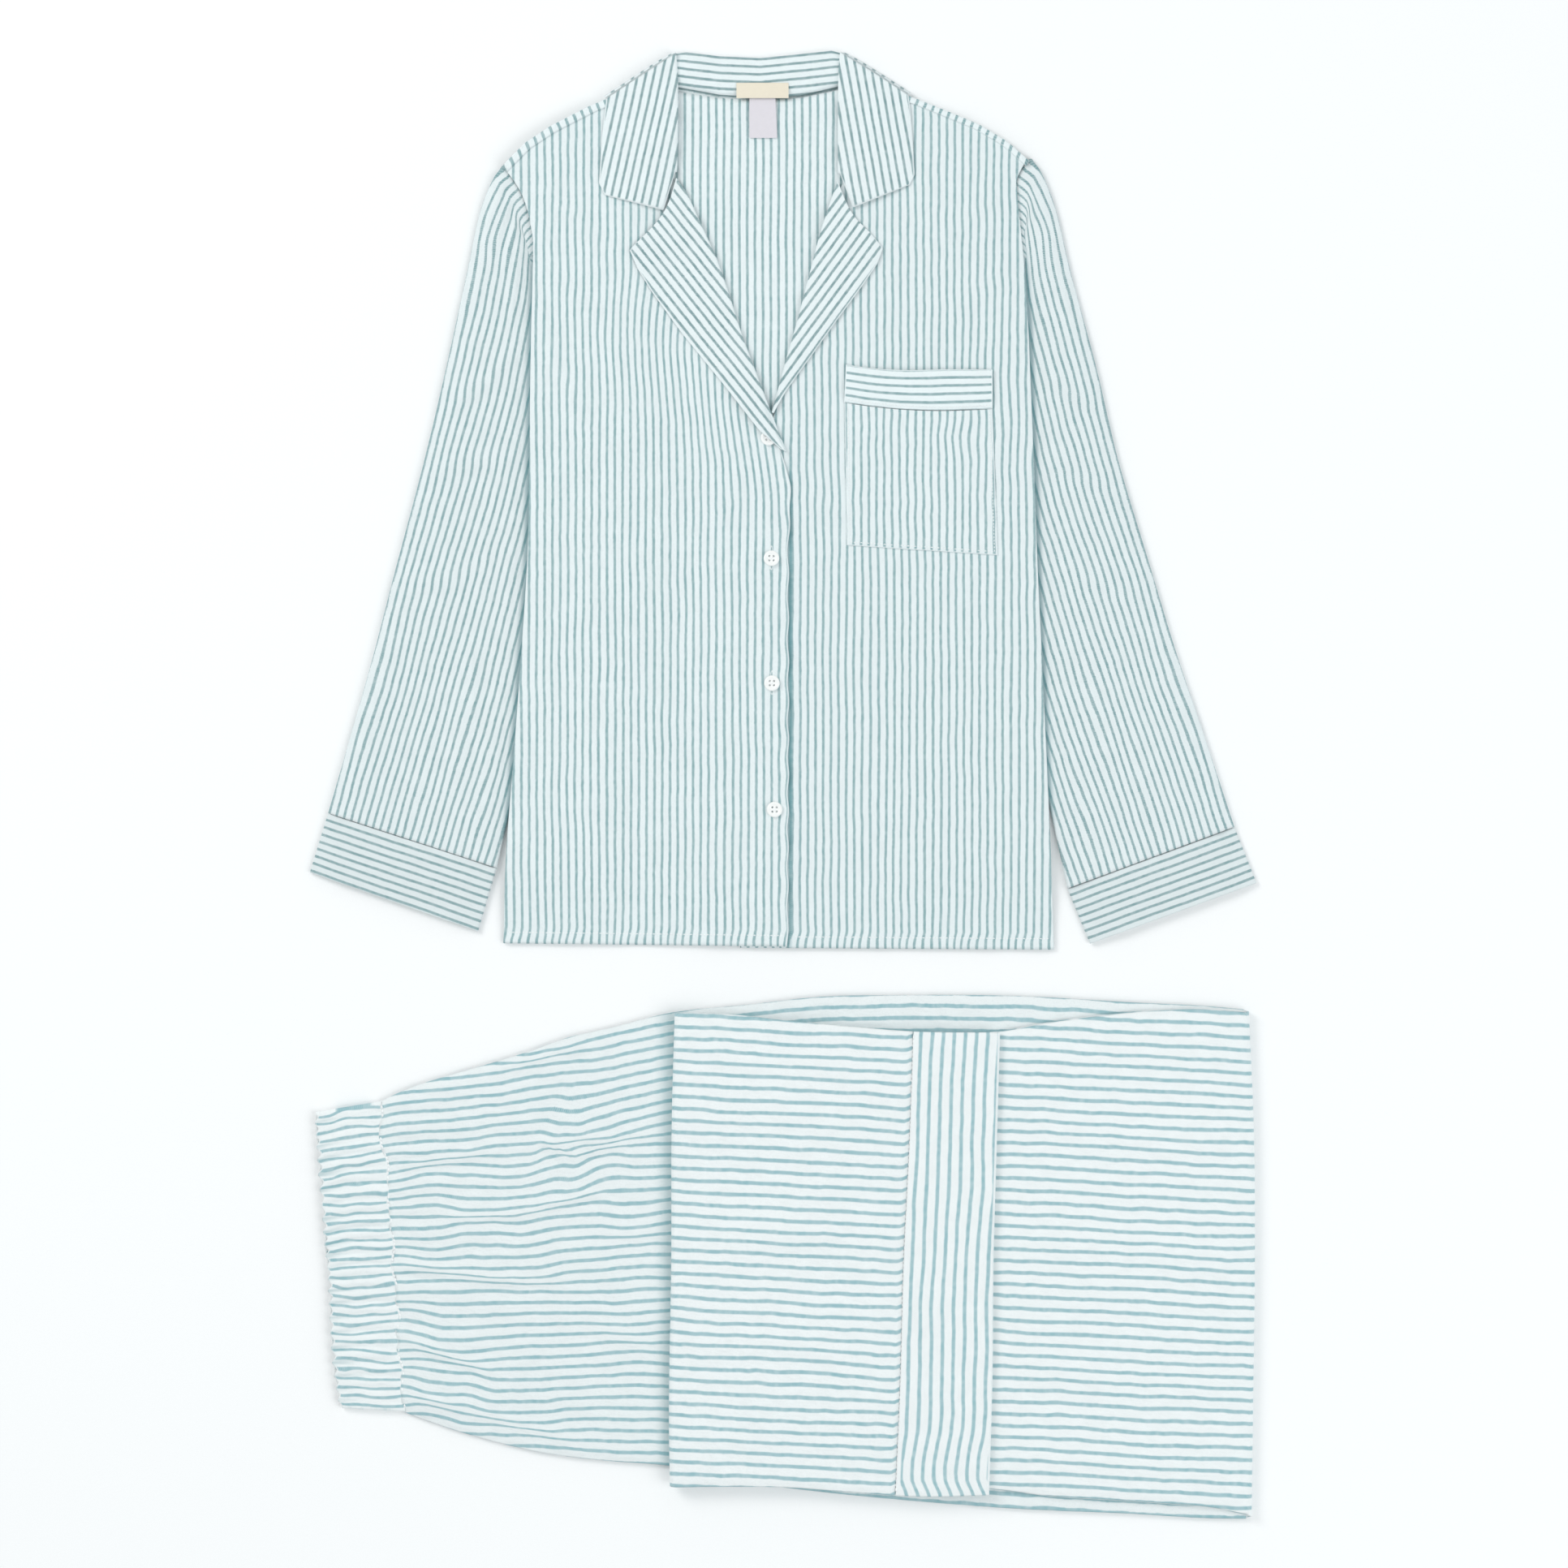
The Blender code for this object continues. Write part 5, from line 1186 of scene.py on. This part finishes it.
def line_between(first, second, bow=0.0):
    """Plan points from one to the other, bowed sideways."""
    share = np.linspace(0, 1, 40)
    dx, dy = second[0] - first[0], second[1] - first[1]
    off = bow * 4 * share * (1 - share) / math.hypot(dx, dy)
    return np.stack([first[0] + dx * share - dy * off, first[1] + dy * share + dx * off], axis=1)


stitch_row("hem_stitches_right", line_between((-214, -115.0), (-1, -117.5)), buttoned_height)
stitch_row("hem_stitches_left", line_between((8, -118.5), (206, -120.0)), front_height)
pocket_line = np.concatenate([
    line_between((49.5, 292), (51.3, 187.6)), line_between((51.3, 187.6), (163.0, 180.0)),
    line_between((163.0, 180.0), (159.4, 288)),
])
stitch_row("pocket_stitches", pocket_line, lambda x, y: front_height(x, y) + 1.6)
stitch_row(
    "pocket_band_stitches", line_between((48.0, 298.4), (160.6, 293.4), bow=-3.4),
    lambda x, y: front_height(x, y) + 2.0,
)
for number, (x, y) in enumerate(BUTTON_PLACES, start=1):
    if number > 1:
        ring = [(x + 1.25 * math.cos(a), y + 0.4 + 9.3 * math.sin(a)) for a in np.linspace(0, 2 * math.pi, 60)]
        stitch_row(
            f"buttonhole_{number}", ring, buttoned_height,
            pitch=0.75, length=0.7, width=1.0, lift=0.3,
        )

# %% [markdown]
# ## The trousers, folded in three
#
# The two legs are laid one on the other and folded twice, like a letter, so each leg is one sheet with an S
# through all three layers. From the table up a layer holds the right leg, the inner leaves and the left leg; in
# the middle layer they are turned over. The stripes run down the leg, so they run across. At the waist the
# elastic gathers the cloth, and its puckers run out into the hip.

# %% The folded legs
LEG_OFFSET, FOLD_PITCH, FIRST_MIDDLE = 1.6, 4.6, 2.1
WAIST_OPENING = rows_of(
    Edge,
    (-363.2, -254.5), (-358.8, -310.6), (-355.6, -350.3), (-351.9, -391.9), (-350.6, -427.1), (-346.2, -468.7),
    (-343.7, -483.8),
)
WAIST_SEAM = rows_of(
    Edge,
    (-312.2, -246.3), (-312, -270.9), (-307.8, -298.6), (-305.2, -333.9), (-302.7, -371.1), (-299.6, -403.8),
    (-298.3, -438.5), (-293.9, -486.4),
)
LegSection = namedtuple("LegSection", "x top bottom")
FIRST_LAYER = rows_of(
    LegSection,
    (-312, -246, -481), (-303, -241.3, -484), (-288, -235, -489.5), (-258, -225.5, -500.2), (-227.7, -216.7, -509),
    (-197.5, -207.3, -516.6), (-167.3, -196.6, -521.6), (-137, -189.6, -524.8), (-85.4, -177, -529.2),
    (-31, -171.5, -541), (29, -165, -549), (90, -163.8, -555), (180, -164.4, -562), (271, -169.5, -566),
    (332, -172.6, -569.5), (366, -175.8, -569.8),
)
SECOND_LAYER = rows_of(
    LegSection,
    (-90, -178, -543), (51, -189, -544.5), (167, -191.5, -547), (205, -184.6, -551.9), (252, -178.3, -555),
    (298, -174.5, -558), (329, -174, -560.6), (366, -177.2, -567.8),
)
THIRD_LAYER = rows_of(
    LegSection,
    (-90, -177, -544.4), (-42.5, -178.3, -543.7), (4, -183.3, -544.3), (51, -187.7, -547.8), (100, -191.5, -551.2),
    (168, -192.3, -550),
)
Across = namedtuple("Across", "share x")
RIGHT_FOLD = rows_of(
    Across,
    (0, 360.5), (0.25, 364.5), (0.5, 365.1), (0.75, 363.9), (1, 362.6),
)
LEFT_FOLD = rows_of(
    Across,
    (0, -84.9), (0.25, -87.3), (0.5, -87.5), (0.9, -89.2), (1, -88.6),
)
HEM_SEAM = rows_of(
    Across,
    (0, 99.9), (0.25, 96.7), (0.5, 92.3), (0.75, 89.8), (1, 86),
)
HEM_EDGE = rows_of(
    Across,
    (0, 167.3), (0.25, 164.7), (0.5, 162.2), (0.75, 161.4), (1, 158.8),
)
HIP_CREASES = rows_of(
    Crease,
    (-188.7, -278.5, -87.9, -273.4, 2.2, 1.8), (-190, -278, -160, -289.5, 2.2, 2.2), (-162, -289, -122, -278, 2.4, 2),
    (-299.6, -298.6, -224, -284.8, 3.2, 2), (-264.3, -336.4, -205, -335, 3, 2.2), (-214, -336.4, -134, -313.7, 3, 2),
    (-302, -373, -214, -385.6, 3.5, 2.2), (-240, -384, -170, -387, 3, 1.8), (-224, -222.5, -148, -202, 3, 1.8),
    (-294.5, -472.5, -249.2, -485.1, 3.5, 2.3), (-252, -484.5, -161, -510.3, 4, 2.2),
    (-292, -432.2, -224, -457.4, 3.5, 2.4), (-150, -420, -92, -440, 6, 1.1), (-140, -350, -90, -352, 6, 1),
)
THIRD_CREASES = rows_of(
    Crease,
    (60, -484, 92, -474, 4, 1.2), (-70, -260, 60, -268, 9, 1.2, 4), (-60, -350, 80, -342, 10, 1.3, -5),
    (-76, -430, 70, -446, 9, 1.2, 5), (-78, -505, 60, -512, 7, 1.2), (-60, -215, 80, -222, 6, 1),
)
SECOND_CREASES = rows_of(
    Crease,
    (176, -262, 350, -280, 9, 1.3, -5), (172, -360, 356, -372, 11, 1.4, 6), (176, -450, 352, -470, 9, 1.3, -5),
    (180, -520, 350, -534, 6, 1.1), (176, -210, 340, -214, 6, 1),
)
LAYER_CREASES = (SECOND_CREASES, THIRD_CREASES)
LEG_FOLD_STEPS = 9
HIP_WIDTHS = [(-312, 298), (-293, 309), (-255, 328), (-230, 338), (-199, 355), (-167, 368), (-91, 373)]
PATH_LENGTHS = np.array([677.0, 8.0, 452.0, 8.0, 182.0])  # cloth in each layer and in the folds between them
PATH_STARTS = np.concatenate([[0.0], np.cumsum(PATH_LENGTHS)[:-1]])
TOP_LAYER = FIRST_MIDDLE + 2 * FOLD_PITCH + LEG_OFFSET
LEG_STOPS = np.concatenate([
    0 + np.linspace(0, 0.34, 62), np.linspace(0.34, 0.99, 24)[1:], [1.0],
    1 + np.arange(1, LEG_FOLD_STEPS) / LEG_FOLD_STEPS,
    2 + np.linspace(0, 0.47, 48), 2 + np.linspace(0.47, 1.0, 16)[1:],
    3 + np.arange(1, LEG_FOLD_STEPS) / LEG_FOLD_STEPS,
    4 + np.linspace(0, 1, 46),
])


def table(rows, key, wanted, at):
    return curve([getattr(row, key) for row in rows], [getattr(row, wanted) for row in rows], at)


def hip_relief(x, y):
    waist = ramp(x, -180, -300)
    gathers = 2.6 * waist * (swell(x, y, 70, 7.5, 41) - 0.35) + 1.3 * swell(x, y, 90, 26, 43)
    return np.maximum(0.0, gathers + creased(HIP_CREASES, x, y) + 0.35 * swell(x, y, 13, 8, 45))


def layer_relief(x, y, creases, seed):
    """How an upper layer of the legs stands off the one below it."""
    return 1.3 * swell(x, y, 110, 34, seed) + 0.4 * swell(x, y, 16, 9, seed + 2) + creased(creases, x, y)


def third_relief(x, y):
    return layer_relief(x, y, THIRD_CREASES, 51)


def seam_wobble(y):
    """How far the casing's seam strays from its line as the elastic draws it up."""
    return 0.9 * np.sin(y / 3.9 + 1.3 * np.sin(y / 17.0)) + 0.7 * np.sin(y / 8.3)


def leg_place(offset, hem, hem_cut, edge_inset, visible):
    """u is a stop along the folded path: even whole parts are flat layers, odd ones the folds between them."""
    reach = LEG_OFFSET + FOLD_PITCH / 2 + 0.5

    def place(u, v):
        part = np.where(u <= 1.0, 0, np.where(u < 2.0, 1, np.where(u <= 3.0, 2, np.where(u < 4.0, 3, 4))))
        amount = u - part
        parts = [part == number for number in range(4)]
        right_centre = table(RIGHT_FOLD, "share", "x", v) - reach
        left_centre = table(LEFT_FOLD, "share", "x", v) + reach
        seam_y = WAIST_SEAM[0].y + (WAIST_SEAM[-1].y - WAIST_SEAM[0].y) * v
        start = table(WAIST_SEAM, "y", "x", seam_y) + seam_wobble(seam_y) - 1.6
        finish_x = table(hem, "share", "x", v) - hem_cut
        turn = amount * math.pi
        upturned = np.where(part == 2, -1.0, 1.0)
        radius_right, radius_left = FOLD_PITCH / 2 - offset, FOLD_PITCH / 2 + offset
        x = np.select(
            parts,
            [
                start + (right_centre - start) * amount,
                right_centre + radius_right * np.sin(turn),
                right_centre + (left_centre - right_centre) * amount,
                left_centre - radius_left * np.sin(turn),
            ],
            left_centre + (finish_x - left_centre) * amount,
        )
        z = np.select(
            parts,
            [
                FIRST_MIDDLE + offset + 0 * x,
                FIRST_MIDDLE + FOLD_PITCH / 2 - radius_right * np.cos(turn),
                FIRST_MIDDLE + FOLD_PITCH - offset + 0 * x,
                FIRST_MIDDLE + FOLD_PITCH * 1.5 - radius_left * np.cos(turn),
            ],
            FIRST_MIDDLE + 2 * FOLD_PITCH + offset,
        )
        layer = np.select(parts, [0.0, amount, 1.0, 1 + amount], 2.0)
        tops = [table(rows, "x", "top", x) for rows in (FIRST_LAYER, SECOND_LAYER, THIRD_LAYER)]
        lows = [table(rows, "x", "bottom", x) for rows in (FIRST_LAYER, SECOND_LAYER, THIRD_LAYER)]
        first, second = np.clip(layer, 0, 1), np.clip(layer - 1, 0, 1)
        top = tops[0] + (tops[1] - tops[0]) * first + (tops[2] - tops[1]) * second
        low = lows[0] + (lows[1] - lows[0]) * first + (lows[2] - lows[1]) * second
        y = top - edge_inset + (low - top + 2 * edge_inset) * v
        rim = np.minimum(v, 1 - v) * (top - low)
        rounded = ramp(rim, 0, 9)
        if visible == "left":
            on_hip = (part == 0) * ramp(x, -90, -112)
            z = z - 1.3 * (part == 0) * ramp(amount, 0.006, 0.0)
            z = z + rounded * (on_hip * hip_relief(x, y) + (part == 4) * ramp(amount, 0, 0.08) * third_relief(x, y))
            z = z - 0.95 * ramp(rim, 4, 0) * upturned
        if visible == "right":
            lies = layer_relief(x, y, SECOND_CREASES, 61)
            z = z + rounded * (part == 2) * ramp(x, 163, 180) * lies * ramp(amount, 0, 0.03)
            z = z + 0.95 * ramp(rim, 4, 0) * upturned
        along = PATH_STARTS[part] + amount * PATH_LENGTHS[part]
        across = (v - 0.5) * np.interp(x, *zip(*HIP_WIDTHS))
        across = across - (part == 0) * tucked(HIP_CREASES, x, y, 1.9)
        across = across + 3.2 * (swell(x, y, 34, 12, 47) - 0.5) * ramp(x, -250, -300)
        slant = -y - 0.05 * x - 370.0
        across = np.where(part >= 1, slant - tucked(LAYER_CREASES[int(visible == "left")], x, y, 0.5), across)
        hook = 1.8 * (part == 4) * ramp(amount, 0.975, 1.0)
        margin = np.where(part == 0, amount * PATH_LENGTHS[0] + 0.3, UNTRIMMED)
        # Painted shadow on the hip beside the top layer's left fold; the 0.05 evenly darkens the whole hip through the
        # same teal mix.
        painted_shade = (part == 0) * (0.05 + 0.3 * ramp(x, -101, -89) * (x < -80))
        return x, y, z, across + hook, along, margin, painted_shade

    return place


leg_rows = crowded(82, (0, 0.003, 0.008, 0.014))
leg_left = lay("leg_sheet_left", LEG_STOPS, leg_rows, leg_place(1.6, HEM_SEAM, 0.2, 0.0, "left"))
finish_piece(leg_left, trouser_cloth("left_leg_cloth", 0.1), ["trousers_leg_left"])
leg_right = lay("leg_sheet_right", LEG_STOPS, leg_rows, leg_place(-1.6, HEM_EDGE, 1.0, 0.6, "right"))
finish_piece(leg_right, trouser_cloth("right_leg_cloth", 0.55), ["trousers_leg_right"])
inner_stops = LEG_STOPS[::2] if len(LEG_STOPS) % 2 else np.append(LEG_STOPS[::2], LEG_STOPS[-1])
leaves = lay(
    "inner_leaves", inner_stops, crowded(30, (0, 0.006)), leg_place(0.0, HEM_EDGE, 22.0, 1.2, "none"), wall=1.6
)
finish_piece(leaves, trouser_cloth("inner_leaf_cloth", 0.3), ["trousers_folded_layers"])

# %% [markdown]
# ## The hem band and the waistband
#
# The band is cut across the cloth and sewn on, so its stripes go round the ankle. The waistband is a casing with
# elastic in it. The elastic draws it up into small ripples, which scallop its free edge.


# %% Hem band and waistband
BAND_WIDTH = 66.0
CASING_DRAWN_IN, CASING_CLOTH = 236, 294  # the casing's length as the elastic holds it, and its cloth's


def hem_band_place(u, v):
    """u from 0 to 1 lies on top, from 1 to 2 turns under, and from 2 to 3 goes back beneath."""
    start = table(HEM_SEAM, "share", "x", v) + 0.3
    end = table(HEM_EDGE, "share", "x", v) - 1.2
    flat, turn, under = np.clip(u, 0, 1), np.clip(u - 1, 0, 1) * math.pi, np.clip(u - 2, 0, 1)
    x = start + (end - start) * flat + 0.7 * np.sin(turn) - 30.0 * under
    top, low = table(THIRD_LAYER, "x", "top", x), table(THIRD_LAYER, "x", "bottom", x)
    y = top + (low - top) * v
    rim = np.minimum(v, 1 - v) * (top - low)
    lies = third_relief(x, y) * ramp(rim, 0, 9)
    crumple = creased([Crease(128, -522, 148, -512, 3.0, 1.6), Crease(120, -530, 146, -528, 3.0, 1.2)], x, y)
    near_seam = 1.0 - 0.8 * ramp(np.abs(flat - 0.11), 0.05, 0.0)
    z = TOP_LAYER + 0.4 * near_seam + (lies + crumple) * (1 - under) * ramp(u, 1.5, 0.9) - 0.7 * (1 - np.cos(turn))
    z = z - 0.6 * ramp(flat, 0.97, 1.0) * (under == 0) - 0.8 * ramp(rim, 4, 0)
    swept = 5.6 * ramp(y, -536, -552) - 2.8 * ramp(y, -498, -533)
    wave = 0.5 * np.sin(y / 23.0) + 0.35 * np.sin(y / 9.5)
    across = 1.065 * (x - start - 6.0) - swept + wave * ramp(flat, 0.05, 0.3)
    margin = np.minimum((flat - 0.03) * BAND_WIDTH, (1 - flat) * BAND_WIDTH + 0.2)
    return x, y, z, across, y, np.where(flat < 0.04, 0.0, margin)


def elastic_ripple(share, along):
    """The casing's ripples, one each 11 mm or so, uneven, and strongest in its middle rows."""
    y = share * CASING_DRAWN_IN
    fine = np.sin(y * 2 * math.pi / 10.6 + 1.7 * np.sin(y / 19.0) + 0.9 * np.sin(along * 3))
    return fine * (0.55 + 0.6 * swell(y, along * 30, 18, 40, 71))


WAIST_SHARE, WAIST_DOWN, WAIST_PAST = flat_tube(np.linspace(0, 1, 130), np.linspace(1, 0, 30))


def waistband_place(u, v):
    spot = u.astype(int)
    share, down, past = WAIST_SHARE[spot], WAIST_DOWN[spot], WAIST_PAST[spot]
    ends = [WAIST_OPENING[end].y + (WAIST_SEAM[end].y - WAIST_OPENING[end].y) * v for end in (0, -1)]
    top, low = ends[0] - 1.9, ends[1] + 1.9
    y = top + (low - top) * share
    open_x, seam_x = table(WAIST_OPENING, "y", "x", y), table(WAIST_SEAM, "y", "x", y) + seam_wobble(y)
    ripple = elastic_ripple(share, v)
    x = open_x + (seam_x - open_x) * v + 1.7 * ripple * ramp(v, 0.5, 0.0)
    puff = 1.6 * np.sin(math.pi * np.clip(v, 0, 1)) ** 0.6
    middle = np.sin(math.pi * np.clip(v, 0.02, 0.98)) ** 0.4
    upper = 3.7 + puff + 1.5 * (ripple + 1) * middle * np.sin(math.pi * share) ** 0.4
    z = upper + (LOWEST - upper) * down
    y = y - past * 1.8
    sway = 4.6 * swell(x, y, 24, 17, 73) + 2.4 * swell(x, y, 11, 8, 75)
    # Painted shade in the valleys of the ripples, strongest at the casing's free edge.
    painted_shade = 0.42 * ramp(-ripple, 0.25, 1.0) * ramp(v, 0.45, 0.0) * (1 - down)
    margin = np.where(v < 0.5, v * 50, (1 - v) * 50)
    return x, y, z, (share - 0.5) * CASING_CLOTH + 0.4 * ripple + sway, v * 50 + 0 * x, margin, painted_shade


hem_columns = np.concatenate([crowded(30, (0, 0.01, 0.03)), 1 + np.linspace(0, 1, 7)[1:], 2 + np.linspace(0, 1, 7)[1:]])
hem_band = lay("hem_band", hem_columns, leg_rows, hem_band_place)
finish_piece(hem_band, trouser_cloth("hem_band_cloth", 0.5, 0.0008), ["trousers_hem_band"])
waist_columns, waist_rows = np.arange(len(WAIST_SHARE)), crowded(26, (0, 0.015, 0.04))
waistband = lay("waist_casing", waist_columns, waist_rows, waistband_place, closed=True)
finish_piece(waistband, trouser_cloth("waistband_cloth", 0.1), ["trousers_waistband"])
seam_y = np.linspace(-194.0, -549.0, 160)
seam_share = (-191.5 - seam_y) / 359.7
seam_line = np.stack([table(HEM_SEAM, "share", "x", seam_share) + 0.4, seam_y], axis=1)
stitch_row(
    "hem_seam_stitches", seam_line, lambda x, y: TOP_LAYER + 0.3 + third_relief(x, y),
    pitch=3.4, length=3.6, width=1.3, lift=0.0,
)
waist_y = np.linspace(-249.0, -484.0, 160)
waist_line = np.stack([table(WAIST_SEAM, "y", "x", waist_y) + seam_wobble(waist_y) + 0.3, waist_y], axis=1)
stitch_row(
    "waist_stitches", waist_line, lambda x, y: 4.7 + 0.25 * np.sin(y),
    pitch=3.1, length=3.4, width=1.5, lift=0.0,
)
